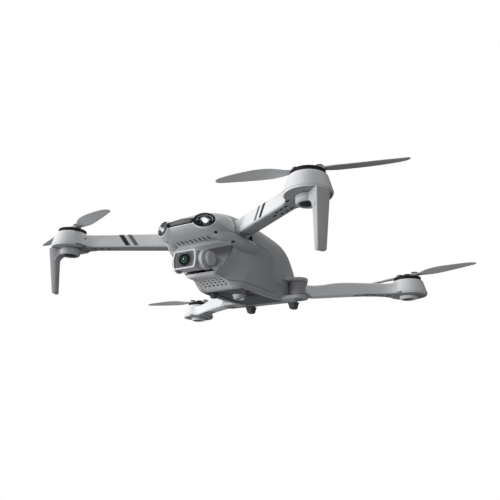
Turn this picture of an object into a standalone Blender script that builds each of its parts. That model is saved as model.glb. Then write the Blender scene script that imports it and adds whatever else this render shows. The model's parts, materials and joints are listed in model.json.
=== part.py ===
"""Folding camera quadcopter, modelled as separate solids with real pivots.

Axes: nose toward -Y, the aircraft's left side toward +X, +Z up, ground at z = 0.
Every length below is in millimetres; make_object() scales it to metres.
"""

import bmesh
import bpy
from math import asin, atan2, cos, hypot, pi, radians, sin
from mathutils import Matrix, Vector

MM = 0.001
GAP = 0.3                      # running gap between neighbouring pieces
SIDES = (("L", 1), ("R", -1))  # name suffix, sign of X

# Rotors and arms ------------------------------------------------------------
PROP_RADIUS = 60.0
FRONT_ROTOR = (105.9, -86.3)
REAR_ROTOR = (110.3, 86.3)
FRONT_PIVOT = (28.0, -43.0)
REAR_PIVOT = (34.0, 36.0)
FRONT_POD_Z = 36.0             # underside of a front motor pod
REAR_POD_Z = 9.0               # underside of a rear motor pod
POD_HEIGHT = 12.4
POD_BASE_RADIUS = 16.4
POD_TOP_RADIUS = 12.3
BLADE_LINE = 16.6              # deg, deployed blades against X, mirrored front and rear
BLADE_PIVOT = 7.0              # blade hinge, from the rotor axis
PIN_RADIUS = 2.2

# Camera ---------------------------------------------------------------------
TILT_Y, TILT_Z = -63.5, 16.0   # tilt axis, parallel to X
CAMERA_HALF = (9.7, 6.5)       # half width, half height of the housing

# Hull -----------------------------------------------------------------------
WALL = 1.8
SEAM_Z = 36.0
# y, then z of: underside, widest line, top; then half widths from underside to crown
HULL = (
    (-78.0, 40.2, 42.0, 44.2, 4.0, 6.0, 8.0, 9.0, 7.5, 4.0),
    (-76.4, 37.9, 41.6, 45.2, 8.0, 11.5, 14.2, 15.5, 13.5, 8.5),
    (-74.0, 36.2, 41.0, 46.6, 10.5, 15.5, 20.0, 21.5, 19.0, 12.0),
    (-71.0, 34.8, 40.4, 48.0, 12.0, 18.5, 24.4, 26.0, 23.0, 14.0),
    (-66.0, 33.2, 39.5, 50.6, 14.0, 21.0, 27.2, 29.0, 25.2, 15.2),
    (-60.0, 32.2, 38.0, 53.8, 15.0, 21.0, 27.5, 30.0, 26.0, 15.8),
    (-56.6, 30.2, 37.0, 55.7, 14.0, 19.4, 26.4, 30.3, 26.5, 16.2),
    (-54.4, 15.0, 36.5, 56.8, 12.0, 16.4, 25.6, 30.4, 26.6, 16.3),
    (-52.4, 9.2, 36.5, 57.7, 12.0, 15.8, 25.2, 30.4, 26.7, 16.4),
    (-50.6, 8.3, 37.2, 58.4, 12.2, 15.8, 25.2, 30.4, 26.9, 16.5),
    (-42.0, 8.0, 37.2, 60.6, 12.8, 17.0, 26.0, 30.3, 27.0, 16.5),
    (-38.0, 7.2, 37.2, 61.2, 13.6, 18.2, 26.5, 30.3, 27.0, 16.5),
    (-34.0, 5.8, 37.2, 61.6, 15.0, 19.6, 27.0, 30.2, 27.0, 16.5),
    (-30.0, 4.0, 37.2, 61.7, 16.8, 20.9, 27.5, 30.1, 27.0, 16.5),
    (-26.0, 3.1, 37.2, 61.8, 18.2, 21.9, 28.0, 30.0, 27.0, 16.5),
    (-8.0, 3.0, 37.2, 61.4, 20.0, 23.0, 28.4, 30.0, 26.8, 16.4),
    (12.0, 3.2, 37.2, 60.2, 20.6, 23.4, 28.0, 29.4, 26.0, 16.0),
    (26.0, 4.0, 37.2, 58.4, 21.2, 24.0, 27.2, 27.6, 24.6, 15.4),
    (38.0, 5.0, 35.0, 56.2, 21.8, 25.0, 26.4, 24.6, 22.0, 14.4),
    (47.0, 6.0, 34.0, 53.6, 22.6, 25.8, 25.4, 21.4, 19.2, 13.2),
    (52.0, 6.6, 31.0, 46.5, 22.8, 25.8, 24.8, 20.8, 18.6, 13.0),
    (56.0, 7.2, 26.0, 36.5, 22.0, 25.0, 24.0, 20.8, 18.6, 13.0),
    (58.0, 9.0, 24.0, 34.2, 20.0, 23.0, 22.4, 19.8, 17.6, 12.0),
)
# side line between the two shells: upright behind the nose, level, an S down the flank, over the rear hinge
SEAM = (
    (-57.6, 36.0), (-9.0, 36.0), (-4.5, 35.2), (-1.0, 33.0), (1.6, 29.8), (4.2, 25.4),
    (6.6, 21.0), (8.8, 17.6), (12.0, 15.2), (16.0, 14.2), (21.5, 14.0), (21.5, 22.4), (75.0, 22.4),
)
# recess in front of the body that the camera hangs in, as (y, z)
CAMERA_BAY = (
    (-100.0, 12.9), (-54.0, 12.9), (-51.4, 13.4), (-50.6, 15.4),
    (-50.6, 22.0), (-53.2, 27.2), (-56.2, 29.6), (-100.0, 29.6),
)

# Battery bay and windows ----------------------------------------------------
BATTERY = (16.8, -2.0, 14.2, 49.6)       # half width, front y, underside z, top z
CHIN = (13.2, -26.0, 11.2)               # half width, rear y, top z
BELLY = (18.0, -24.0, 38.0, 4.7, 6.4)    # half width, front y, rear y, z low, z high
FRONT_FOOT = (15.0, -16.0)
REAR_FOOT = (22.0, 51.2)

# Front lamps ----------------------------------------------------------------
LAMP = (18.9, 41.2)                      # x, z
BAR_RISE = 0.8                           # middle of the light bar above the lamps
LAMP_ANGLE = 24.0                        # deg, each lamp looks this far outward

COLOURS = {
    "shell_light": ((0.80, 0.81, 0.82), 0.42, 0.0),
    "shell_grey": ((0.42, 0.43, 0.45), 0.45, 0.0),
    "cover_grey": ((0.33, 0.34, 0.36), 0.50, 0.0),
    "black_gloss": ((0.012, 0.012, 0.014), 0.12, 0.0),
    "black_matte": ((0.03, 0.03, 0.033), 0.55, 0.0),
    "foot_dark": ((0.07, 0.072, 0.078), 0.60, 0.0),
    "face_grey": ((0.16, 0.165, 0.175), 0.35, 0.0),
    "glass": ((0.02, 0.045, 0.04), 0.05, 0.0),
    "lamp": ((0.92, 0.94, 0.96), 0.10, 0.0),
    "metal": ((0.56, 0.57, 0.58), 0.30, 1.0),
    "board": ((0.02, 0.16, 0.07), 0.50, 0.0),
    "blade": ((0.62, 0.63, 0.64), 0.45, 0.0),
}


# Scene and mesh helpers -----------------------------------------------------

def clear_scene():
    for obj in list(bpy.data.objects):
        bpy.data.objects.remove(obj, do_unlink=True)


def material(key):
    found = bpy.data.materials.get(key)
    if found:
        return found
    colour, roughness, metallic = COLOURS[key]
    made = bpy.data.materials.new(key)
    made.use_nodes = True
    shader = made.node_tree.nodes["Principled BSDF"]
    shader.inputs["Base Color"].default_value = (*colour, 1.0)
    shader.inputs["Roughness"].default_value = roughness
    shader.inputs["Metallic"].default_value = metallic
    return made


def make_object(name, bm, key=None, origin=(0.0, 0.0, 0.0)):
    """Turn a bmesh in millimetres into an object; with no material key it is a hidden cutter."""
    origin = Vector(origin)
    for vert in bm.verts:
        vert.co = (vert.co - origin) * MM
    bmesh.ops.recalc_face_normals(bm, faces=bm.faces)
    mesh = bpy.data.meshes.new(name)
    bm.to_mesh(mesh)
    bm.free()
    mesh.shade_smooth()
    mesh.set_sharp_from_angle(angle=radians(35.0))
    obj = bpy.data.objects.new(name, mesh)
    obj.location = origin * MM
    bpy.context.scene.collection.objects.link(obj)
    if key:
        mesh.materials.append(material(key))
    else:
        obj.hide_render = True
        obj.display_type = "WIRE"
    return obj


def boolean(target, tool, operation):
    modifier = target.modifiers.new(operation.title(), "BOOLEAN")
    modifier.operation = operation
    modifier.object = tool
    modifier.solver = "EXACT"


def cut(target, *tools):
    for tool in tools:
        boolean(target, tool, "DIFFERENCE")


def join(target, *tools):
    for tool in tools:
        boolean(target, tool, "UNION")


def keep_inside(target, tool):
    boolean(target, tool, "INTERSECT")


def add_loft(bm, rings):
    """Skin a row of equally long rings and cap both ends."""
    rows = [[bm.verts.new(point) for point in ring] for ring in rings]
    count = len(rows[0])
    for near, far in zip(rows, rows[1:]):
        for i in range(count):
            j = (i + 1) % count
            bm.faces.new((near[i], near[j], far[j], far[i]))
    bm.faces.new(rows[0])
    bm.faces.new(rows[-1])


def loft(rings, flat=True):
    """One loft as a new bmesh; a twisted skin is triangulated so that each face is flat."""
    bm = bmesh.new()
    add_loft(bm, rings)
    if not flat:
        bmesh.ops.triangulate(bm, faces=[face for face in bm.faces if len(face.verts) == 4])
    return bm


def prism(outline, low, high):
    """Upright prism on an (x, y) outline."""
    return loft([[(x, y, z) for x, y in outline] for z in (low, high)])


def side_prism(outline, half_width):
    """Prism along X on a (y, z) outline."""
    return loft([[(x, y, z) for y, z in outline] for x in (-half_width, half_width)])


def front_prism(outline, near, far):
    """Prism along Y on an (x, z) outline."""
    return loft([[(x, y, z) for x, z in outline] for y in (near, far)])


def box(low, high):
    (x0, y0, z0), (x1, y1, z1) = low, high
    return prism([(x0, y0), (x1, y0), (x1, y1), (x0, y1)], z0, z1)


def lathe(profile, centre=(0.0, 0.0, 0.0), segments=20, turn=None):
    """Revolve an open (radius, height) profile that starts and ends on the axis."""
    bm = bmesh.new()
    rows = []
    for radius, height in profile:
        if radius < 1e-6:
            rows.append([bm.verts.new((0.0, 0.0, height))])
            continue
        angles = [2.0 * pi * i / segments for i in range(segments)]
        rows.append([bm.verts.new((radius * cos(a), radius * sin(a), height)) for a in angles])
    for near, far in zip(rows, rows[1:]):
        for i in range(segments):
            j = (i + 1) % segments
            corners = [near[i % len(near)], near[j % len(near)], far[j % len(far)], far[i % len(far)]]
            unique = list(dict.fromkeys(corners))
            if len(unique) > 2:
                bm.faces.new(unique)
    place = Matrix.Translation(Vector(centre))
    if turn:
        place = place @ turn
    bmesh.ops.transform(bm, matrix=place, verts=bm.verts)
    return bm


def cylinder(centre, radius, low, high, segments=16, turn=None):
    return lathe([(0.0, low), (radius, low), (radius, high), (0.0, high)], centre, segments, turn)


def tapered_box(foot, top, z_foot, z_top, foot_half, top_half, angle=0.0):
    """Block whose rectangle changes size and position from foot to top, turned about Z."""
    rings = []
    for (cx, cy), z, (hx, hy) in ((foot, z_foot, foot_half), (top, z_top, top_half)):
        corner = min(hx, hy) * 0.45
        ring = []
        for sx, sy in ((1, 1), (-1, 1), (-1, -1), (1, -1)):
            first, second = (hx, hy - corner), (hx - corner, hy)
            pair = (first, second) if sx * sy > 0 else (second, first)
            for px, py in pair:
                x, y = sx * px, sy * py
                ring.append((cx + x * cos(angle) - y * sin(angle),
                             cy + x * sin(angle) + y * cos(angle), z))
        rings.append(ring)
    return loft(rings)


def catmull(points, steps):
    """Smooth curve through the points, with steps pieces between each two."""
    ends = [points[0]] + list(points) + [points[-1]]
    curve = []
    for a, b, c, d in zip(ends, ends[1:], ends[2:], ends[3:]):
        for k in range(steps):
            t = k / steps
            curve.append(tuple(
                0.5 * (2 * q + (r - p) * t + (2 * p - 5 * q + 4 * r - s) * t * t
                       + (3 * q - p - 3 * r + s) * t ** 3)
                for p, q, r, s in zip(a, b, c, d)))
    curve.append(tuple(points[-1]))
    return curve


# Hull -----------------------------------------------------------------------

def hull_ring(row, inset, steps):
    y, z_low, z_wide, z_top = row[:4]
    widths = [w - inset for w in row[4:]]
    z_low += inset
    z_top -= inset
    rise, crown = z_wide - z_low, z_top - z_wide
    heights = (z_low, z_low + 0.12 * rise, z_low + 0.5 * rise, z_wide,
               z_wide + 0.45 * crown, z_wide + 0.8 * crown)
    half = catmull(list(zip(widths, heights)) + [(0.0, z_top)], steps)
    ring = [(x, y, z) for x, z in half]
    ring += [(-x, y, z) for x, z in reversed(half[:-1])]
    return ring


def hull(name, inset=0.0, rows=HULL, steps=2, key=None):
    return make_object(name, loft([hull_ring(row, inset, steps) for row in rows], flat=False), key)


def offset_outline(outline, amount):
    """Grow a closed outline outward by amount, corner by corner."""
    area = sum(a[0] * b[1] - b[0] * a[1] for a, b in zip(outline, outline[1:] + outline[:1]))
    turn = 1.0 if area > 0 else -1.0
    grown = []
    for i, point in enumerate(outline):
        before, after = outline[i - 1], outline[(i + 1) % len(outline)]
        first = (Vector(point) - Vector(before)).normalized()
        second = (Vector(after) - Vector(point)).normalized()
        normal_a = Vector((first.y, -first.x)) * turn
        normal_b = Vector((second.y, -second.x)) * turn
        bisector = (normal_a + normal_b).normalized()
        reach = amount / max(0.4, bisector.dot(normal_a))
        grown.append((point[0] + bisector.x * reach, point[1] + bisector.y * reach))
    return grown


def dumbbell(grow):
    """Front outline of the light bar, as (x, z): two ovals joined by a straight band."""
    cx, cz = LAMP
    half_x, half_z = 8.2 + grow, 5.0 + grow
    neck = 2.3 + grow
    top, bottom = pi - asin((BAR_RISE + neck) / half_z), -pi + asin((neck - BAR_RISE) / half_z)
    arc = [top + (bottom - top) * i / 12 for i in range(13)]
    right = [(cx + half_x * cos(a), cz + half_z * sin(a)) for a in arc]
    left = [(-x, z) for x, z in right]
    return right + left[::-1]


def arm_sweep(side):
    """Plan of the space that a front arm's root passes through between open and folded."""
    px, py = FRONT_PIVOT
    radius = 7.6
    open_angle = front_arm().angle
    fold_angle = open_angle + radians(92.0)
    arc = [open_angle - pi / 2.0 - (2.0 * pi - (fold_angle - open_angle) - pi) * i / 12 for i in range(13)]
    outline = [(px + radius * cos(a), py + radius * sin(a)) for a in arc]
    last = outline[-1]
    first = outline[0]
    outline.append((last[0] + 60.0 * cos(fold_angle), last[1] + 60.0 * sin(fold_angle)))
    outline.append((90.0, -10.0))
    outline.append((first[0] + 60.0 * cos(open_angle), first[1] + 60.0 * sin(open_angle)))
    return [(side * x, y) for x, y in outline]


def shell_region(gap, far):
    """Side outline of one shell's share of the hull, set back from the seam by gap."""
    front = SEAM[0][0] + gap
    line = [(front, SEAM[0][1] + gap)] + [(y, z + gap) for y, z in SEAM[1:]]
    return [(front, 90.0)] + line + [(75.0, far)]


def build_hull():
    inner = hull("cut_hull_inside", WALL, HULL[3:9] + HULL[9:-1:2], 1)
    bay_wall = make_object("cut_bay_wall", side_prism(offset_outline(list(CAMERA_BAY), WALL), 40.0))
    cut(inner, bay_wall)
    bay = make_object("cut_camera_bay", side_prism(CAMERA_BAY, 45.0))
    upper_region = make_object("cut_upper_region", side_prism(shell_region(GAP / 2, 90.0), 50.0))
    lower_region = make_object("cut_lower_region", side_prism(
        shell_region(-GAP / 2, -20.0) + [(-95.0, -20.0), (-95.0, 90.0)], 50.0))
    light_recess = make_object("cut_light_recess", front_prism(dumbbell(GAP), -85.0, -65.0))
    half, front, low, high = BATTERY
    battery_bay = make_object("cut_battery_bay", box(
        (-half - GAP, front - 4.0, low - GAP), (half + GAP, 70.0, high + GAP)))
    sweeps = [make_object(f"cut_arm_sweep_{name}", prism(arm_sweep(side), SEAM_Z - 0.2, 48.2))
              for name, side in SIDES]

    upper = hull("upper_shell", key="shell_light")
    keep_inside(upper, upper_region)
    cut(upper, inner)
    cut(upper, battery_bay, *sweeps)
    cut(upper, make_object("cut_button_hole", cylinder((0.0, -24.0, 0.0), 4.9, 55.0, 70.0)))

    lower = hull("lower_shell", key="shell_grey")
    keep_inside(lower, lower_region)
    cut(lower, inner, bay)
    add_seats_and_hinges(lower)
    cut(lower, light_recess, battery_bay)
    cut_lower_openings(lower)
    build_light_bar()
    build_chin(inner, bay)
    build_battery()


def shoulder(side):
    """Rounded bulge under a front arm's root, from the cheek back to a domed end, flat on top."""
    path = ((-62.0, 23.4, 33.4, 2.4, 2.0), (-54.0, 26.3, 32.6, 5.4, 4.6), (-46.0, 27.4, 31.8, 6.2, 5.2),
            (-36.0, 27.8, 31.6, 6.2, 5.2), (-30.0, 28.0, 31.6, 6.0, 5.0), (-27.4, 28.0, 31.6, 5.4, 4.5),
            (-26.2, 28.0, 31.6, 4.4, 3.6), (-26.0, 28.0, 31.6, 3.4, 2.8))
    rings = []
    for y, x, z, half_x, half_z in path:
        turns = [2.0 * pi * i / 20 for i in range(20)]
        rings.append([(side * (x + half_x * cos(a)), y, min(z + half_z * sin(a), SEAM_Z - 0.4)) for a in turns])
    return loft(rings, flat=False)


def flange_outline(side, front, rear):
    """Hinge plate: square to the flank, round about the rear pivot."""
    px, py = REAR_PIVOT
    arc = [radians(-90.0 + 180.0 * i / 10) for i in range(11)]
    outline = [(21.5, front), (px - 5.0, front)]
    outline += [(px + 8.0 * cos(a), py + 8.0 * sin(a)) for a in arc]
    outline += [(px - 5.0, rear), (21.5, rear)]
    return [(side * x, y) for x, y in outline]


def add_seats_and_hinges(lower):
    for name, side in SIDES:
        join(lower, make_object(f"add_arm_seat_{name}", shoulder(side)))
        join(lower, make_object(f"add_flange_low_{name}", prism(flange_outline(side, 27.6, 44.4), 4.5, 7.4)))
        join(lower, make_object(f"add_flange_high_{name}", prism(flange_outline(side, 23.2, 45.4), 18.7, 21.7)))


def cut_lower_openings(lower):
    half, front, rear, low, high = BELLY
    px, py = FRONT_PIVOT
    rx, ry = REAR_PIVOT
    for name, side in SIDES:
        cut(lower, make_object(f"cut_front_pin_hole_{name}",
                               cylinder((side * px, py, 0.0), PIN_RADIUS + GAP, 29.9, 40.0)))
        cut(lower, make_object(f"cut_rear_pin_hole_{name}",
                               cylinder((side * rx, ry, 0.0), PIN_RADIUS + GAP, 2.0, 25.0)))
        cut(lower, make_object(f"cut_barrel_pocket_{name}",
                               cylinder((side * rx, ry, 0.0), 8.4, 7.55, 18.55, 24)))
    cut(lower, make_object("cut_belly_window", box(
        (-half - GAP, front - GAP, -5.0), (half + GAP, rear + GAP, high + 1.0))))
    cut(lower, make_object("cut_chin_window", box(
        (-CHIN[0] - GAP, -70.0, -5.0), (CHIN[0] + GAP, CHIN[1] + 0.2, CHIN[2] + GAP))))
    cut(lower, make_object("cut_chin_slot", box((-11.5, -60.0, CHIN[2] - 1.0), (11.5, -47.6, 13.9))))


def build_chin(inner, bay):
    chin = hull("chin_vent_cover", key="shell_light")
    cut(chin, inner, bay)
    keep_inside(chin, make_object("cut_chin_region", box(
        (-CHIN[0], -70.0, -5.0), (CHIN[0], CHIN[1] - 0.2, CHIN[2]))))


def build_light_bar():
    bar = hull("nose_light_bar", key="black_gloss")
    keep_inside(bar, make_object("cut_light_region", front_prism(dumbbell(0.0), -85.0, -65.5)))
    for name, side in SIDES:
        turn = Matrix.Rotation(side * radians(LAMP_ANGLE), 4, "Z") @ Matrix.Rotation(pi / 2.0, 4, "X")
        centre = (side * LAMP[0], -74.4, LAMP[1])
        pocket = make_object(f"cut_lamp_pocket_{name}", cylinder(centre, 4.5, -3.6, 12.0, 20, turn))
        cut(bar, pocket)
        dome = [(0.0, -3.3), (4.2, -3.3), (4.2, -0.4), (2.8, 0.8), (0.0, 1.3)]
        make_object(f"headlight_lens_{name}", lathe(dome, centre, 20, turn), "lamp")


def build_battery():
    half, front, low, high = BATTERY
    pack = hull("battery_pack", key="shell_light")
    keep_inside(pack, make_object("cut_battery_region", box((-half, front, low), (half, 70.0, high))))


# Arms, pods and rotors ------------------------------------------------------

class Arm:
    """Frame of one arm: s runs from the hinge to the rotor, w across, z up."""

    def __init__(self, pivot, rotor, pod_z):
        self.pivot = pivot
        self.rotor = rotor
        self.pod_z = pod_z
        self.length = hypot(rotor[0] - pivot[0], rotor[1] - pivot[1])
        self.angle = atan2(rotor[1] - pivot[1], rotor[0] - pivot[0])

    def at(self, side, s, w, z):
        x = self.pivot[0] + s * cos(self.angle) - w * sin(self.angle)
        y = self.pivot[1] + s * sin(self.angle) + w * cos(self.angle)
        return (side * x, y, z)


def front_arm():
    return Arm(FRONT_PIVOT, FRONT_ROTOR, FRONT_POD_Z)


def rear_arm():
    return Arm(REAR_PIVOT, REAR_ROTOR, REAR_POD_Z)


def bar_ring(arm, side, s, half, low, high, corner=2.0):
    """Rounded rectangle across the arm at distance s from the hinge."""
    ring = []
    centres = ((half - corner, high - corner, 0.0), (corner - half, high - corner, 90.0),
               (corner - half, low + corner, 180.0), (half - corner, low + corner, 270.0))
    for w, z, start in centres:
        for step in (0.0, 45.0, 90.0):
            a = radians(start + step)
            ring.append(arm.at(side, s, w + corner * cos(a), z + corner * sin(a)))
    return ring


def cover_outline(arm, side, start, root, half, pod_radius, grow):
    """Plan of the underside cover: a strip from the root that ends in the pod's disc."""
    length = arm.length
    root += grow
    half += grow
    pod_radius += grow
    join_angle = pi - atan2(half, pod_radius)
    disc = [-join_angle + 2.0 * join_angle * i / 20 for i in range(21)]
    outline = [arm.at(side, length + pod_radius * cos(a), pod_radius * sin(a), 0.0)[:2] for a in disc]
    outline.append(arm.at(side, start + 6.0, root, 0.0)[:2])
    outline.append(arm.at(side, start - grow, root * 0.6, 0.0)[:2])
    outline.append(arm.at(side, start - grow, -root * 0.6, 0.0)[:2])
    outline.append(arm.at(side, start + 6.0, -root, 0.0)[:2])
    return outline


def build_arm(label, name, side, arm, stations, root, cover_start, key):
    """One arm: moulded shell with its motor pod, underside cover and hinge barrel."""
    pivot = (side * arm.pivot[0], arm.pivot[1], 0.0)
    rotor = (side * arm.rotor[0], arm.rotor[1], 0.0)
    root_radius, root_low, root_high = root
    low, high = arm.pod_z, arm.pod_z + POD_HEIGHT
    shell = make_object(f"{label}_arm_{name}",
                        loft([bar_ring(arm, side, *station) for station in stations], flat=False), key, pivot)
    barrel = [(0.0, root_low), (root_radius - 0.5, root_low), (root_radius, root_low + 0.5),
              (root_radius, root_high - 1.0), (root_radius - 1.0, root_high), (0.0, root_high)]
    join(shell, make_object(f"add_{label}_barrel_{name}", lathe(barrel, pivot, 22)))
    pod = [(0.0, low), (POD_BASE_RADIUS, low), (POD_BASE_RADIUS, low + 2.0),
           (POD_TOP_RADIUS + 0.6, high - 0.8), (POD_TOP_RADIUS, high), (0.0, high)]
    join(shell, make_object(f"add_{label}_pod_{name}", lathe(pod, rotor, 28)))
    cut(shell, make_object(f"cut_{label}_motor_{name}", cylinder(rotor, 11.1, low + 3.6, high + 5.0, 24)))
    cut(shell, make_object(f"cut_{label}_pin_{name}",
                           cylinder(pivot, PIN_RADIUS + GAP, root_low - 5.0, root_high + 5.0, 14)))
    strip = (arm, side, cover_start, 5.0, 4.2, POD_BASE_RADIUS - 1.2)
    cover_z = [station[2] for station in stations]
    cover_high = low + 1.3
    recess = prism(cover_outline(*strip, GAP), min(cover_z) - 8.0, cover_high + GAP)
    cover = prism(cover_outline(*strip, 0.0), low, cover_high)
    return shell, recess, cover


def build_motor(label, name, side, arm):
    centre = (side * arm.rotor[0], arm.rotor[1], 0.0)
    low, high = arm.pod_z + 3.9, arm.pod_z + POD_HEIGHT
    profile = [(0.0, low), (10.8, low), (10.8, high - 1.4), (9.8, high - 0.3),
               (1.0, high - 0.3), (1.0, high + 1.8), (0.0, high + 1.8)]
    make_object(f"{label}_motor_{name}", lathe(profile, centre), "metal", centre)


def build_hub(label, name, side, arm):
    """Rotor hub: a broad lower disc, a centre boss and two headed pins that the blades fold on."""
    centre = (side * arm.rotor[0], arm.rotor[1], 0.0)
    low = arm.pod_z + POD_HEIGHT + 0.3
    profile = [(0.0, low + 2.1), (1.3, low + 2.1), (1.3, low), (11.7, low), (11.7, low + 2.6),
               (3.3, low + 2.6), (3.3, low + 5.2), (2.6, low + 5.9), (0.0, low + 5.9)]
    hub = make_object(f"{label}_prop_hub_{name}", lathe(profile, centre), "black_matte", centre)
    line = blade_angle(label, side)
    for tag, turn in (("a", 0.0), ("b", pi)):
        x = centre[0] + BLADE_PIVOT * cos(line + turn)
        y = centre[1] + BLADE_PIVOT * sin(line + turn)
        pin = [(0.0, low + 2.4), (1.5, low + 2.4), (1.5, low + 5.6), (2.8, low + 5.6), (2.4, low + 6.4), (0.0, low + 6.4)]
        join(hub, make_object(f"add_{label}_blade_pin_{name}_{tag}", lathe(pin, (x, y, 0.0), 14)))
        build_blade(label, name, tag, centre, line + turn, low + 4.1, side)


def blade_angle(label, side):
    """World direction of blade a, outboard on both sides."""
    line = radians(BLADE_LINE if label == "front" else -BLADE_LINE)
    return line if side > 0 else pi - line


def build_blade(label, name, tag, centre, direction, z, side):
    """Twisted two-sided blade with a hinge eye; its pitch is mirrored between neighbouring rotors."""
    hand = side if label == "front" else -side
    stations = ((8.6, 4.6, 0.0, 2.1), (15.0, 8.0, 3.0, 1.6), (23.0, 10.8, 10.0, 1.3), (32.0, 11.2, 10.5, 1.2),
                (46.0, 9.0, 8.5, 1.1), (56.0, 6.2, 7.0, 0.9), (PROP_RADIUS, 2.4, 6.0, 0.8))
    rings = []
    for reach, chord, pitch, thick in stations:
        tilt = hand * radians(pitch)
        ring = []
        for along, up in ((0.5, 0.0), (0.15, 0.5), (-0.35, 0.35), (-0.5, 0.0), (-0.35, -0.35), (0.15, -0.5)):
            across = hand * along * chord
            lift = up * thick
            w = across * cos(tilt) - lift * sin(tilt)
            h = across * sin(tilt) + lift * cos(tilt)
            ring.append((centre[0] + reach * cos(direction) - w * sin(direction),
                         centre[1] + reach * sin(direction) + w * cos(direction), z + h))
        rings.append(ring)
    hinge = (centre[0] + BLADE_PIVOT * cos(direction), centre[1] + BLADE_PIVOT * sin(direction), z)
    blade = make_object(f"{label}_blade_{name}_{tag}", loft(rings, flat=False), "blade", hinge)
    join(blade, make_object(f"add_{label}_eye_{name}_{tag}", cylinder(hinge, 3.3, -1.2, 1.2, 14)))
    cut(blade, make_object(f"cut_{label}_eye_{name}_{tag}", cylinder(hinge, 1.8, -3.0, 3.0, 10)))


def build_front_arms():
    arm = front_arm()
    stations = ((1.0, 6.2, 36.3, 46.9), (12.0, 6.5, 36.3, 46.9), (40.0, 6.2, 36.35, 46.6),
                (74.0, 5.8, 36.4, 46.2), (arm.length - 7.0, 5.6, 36.5, 45.6))
    for name, side in SIDES:
        pivot = (side * arm.pivot[0], arm.pivot[1], 0.0)
        shell, recess, cover = build_arm("front", name, side, arm, stations, (6.9, 36.1, 47.2), 5.5, "shell_light")
        cut(shell, make_object(f"cut_front_cover_{name}", recess))
        make_object(f"front_arm_cover_{name}", cover, "cover_grey", pivot)
        pin = [(0.0, 30.2), (PIN_RADIUS, 30.2), (PIN_RADIUS, 47.5), (3.6, 47.5), (3.2, 48.1), (0.0, 48.1)]
        make_object(f"front_arm_pin_{name}", lathe(pin, pivot, 14), "metal", pivot)
        build_motor("front", name, side, arm)
        build_hub("front", name, side, arm)
        build_leg(name, side, arm)


def build_leg(name, side, arm):
    """Landing leg: a round boss under the pod, a short bridge and a tapered strut to the ground."""
    angle = arm.angle if side > 0 else pi - arm.angle
    centre = (side * arm.rotor[0], arm.rotor[1], 0.0)
    top_z = FRONT_POD_Z - GAP
    boss = [(0.0, 30.6), (6.6, 30.6), (7.6, 31.4), (7.8, top_z), (0.0, top_z)]
    leg = make_object(f"front_leg_{name}", lathe(boss, centre), "shell_light", centre)
    bridge_low = arm.at(side, arm.length + 9.0, 0.0, 0.0)[:2]
    join(leg, make_object(f"add_leg_bridge_{name}", tapered_box(
        bridge_low, bridge_low, 31.6, top_z, (6.0, 3.4), (6.0, 4.2), angle)))
    foot = arm.at(side, arm.length + 8.9, 1.9, 0.0)[:2]
    top = arm.at(side, arm.length + 12.9, 0.0, 0.0)[:2]
    join(leg, make_object(f"add_leg_strut_{name}", tapered_box(
        foot, top, 0.0, top_z, (1.7, 3.2), (2.85, 4.85), angle)))


def build_rear_arms():
    arm = rear_arm()
    stations = ((1.0, 6.0, 7.9, 15.3), (8.9, 6.3, 7.9, 15.3), (9.6, 6.5, 6.2, 15.3), (20.0, 6.5, 6.8, 15.9),
                (34.0, 6.4, 7.8, 18.0), (44.0, 6.2, 8.4, 18.3), (78.0, 5.8, 9.3, 18.3), (arm.length - 7.0, 5.6, 9.4, 18.3))
    for name, side in SIDES:
        pivot = (side * arm.pivot[0], arm.pivot[1], 0.0)
        shell, recess, cover = build_arm("rear", name, side, arm, stations, (7.4, 7.7, 18.4), 52.0, "shell_light")
        cut(shell, make_object(f"cut_rear_cover_{name}", recess))
        make_object(f"rear_arm_cover_{name}", cover, "cover_grey", pivot)
        pin = [(0.0, 3.6), (3.4, 3.6), (3.4, 4.2), (PIN_RADIUS, 4.2), (PIN_RADIUS, 22.4), (3.4, 22.4),
               (3.0, 23.0), (0.0, 23.0)]
        make_object(f"rear_arm_pin_{name}", lathe(pin, pivot, 14), "metal", pivot)
        build_motor("rear", name, side, arm)
        build_hub("rear", name, side, arm)
        centre = (side * arm.rotor[0], arm.rotor[1], 0.0)
        lamp = [(0.0, 6.2), (6.8, 6.2), (7.5, 6.9), (7.5, 7.8), (11.0, 8.0), (11.0, 8.7), (0.0, 8.7)]
        make_object(f"rear_lamp_{name}", lathe(lamp, centre), "shell_grey", centre)


# Camera ---------------------------------------------------------------------

def camera_outline(half_x, half_z, bulge):
    """Front view of the camera, as (x, z): level top and bottom, bowed flanks."""
    side = [(half_x + bulge * (1.0 - (k / 3.0) ** 2), TILT_Z + half_z * k / 3.0 * 0.92) for k in range(-3, 4)]
    corner = half_x - 1.0
    right = [(corner, TILT_Z - half_z)] + side + [(corner, TILT_Z + half_z)]
    left = [(-x, z) for x, z in reversed(right)]
    return right + left


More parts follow.
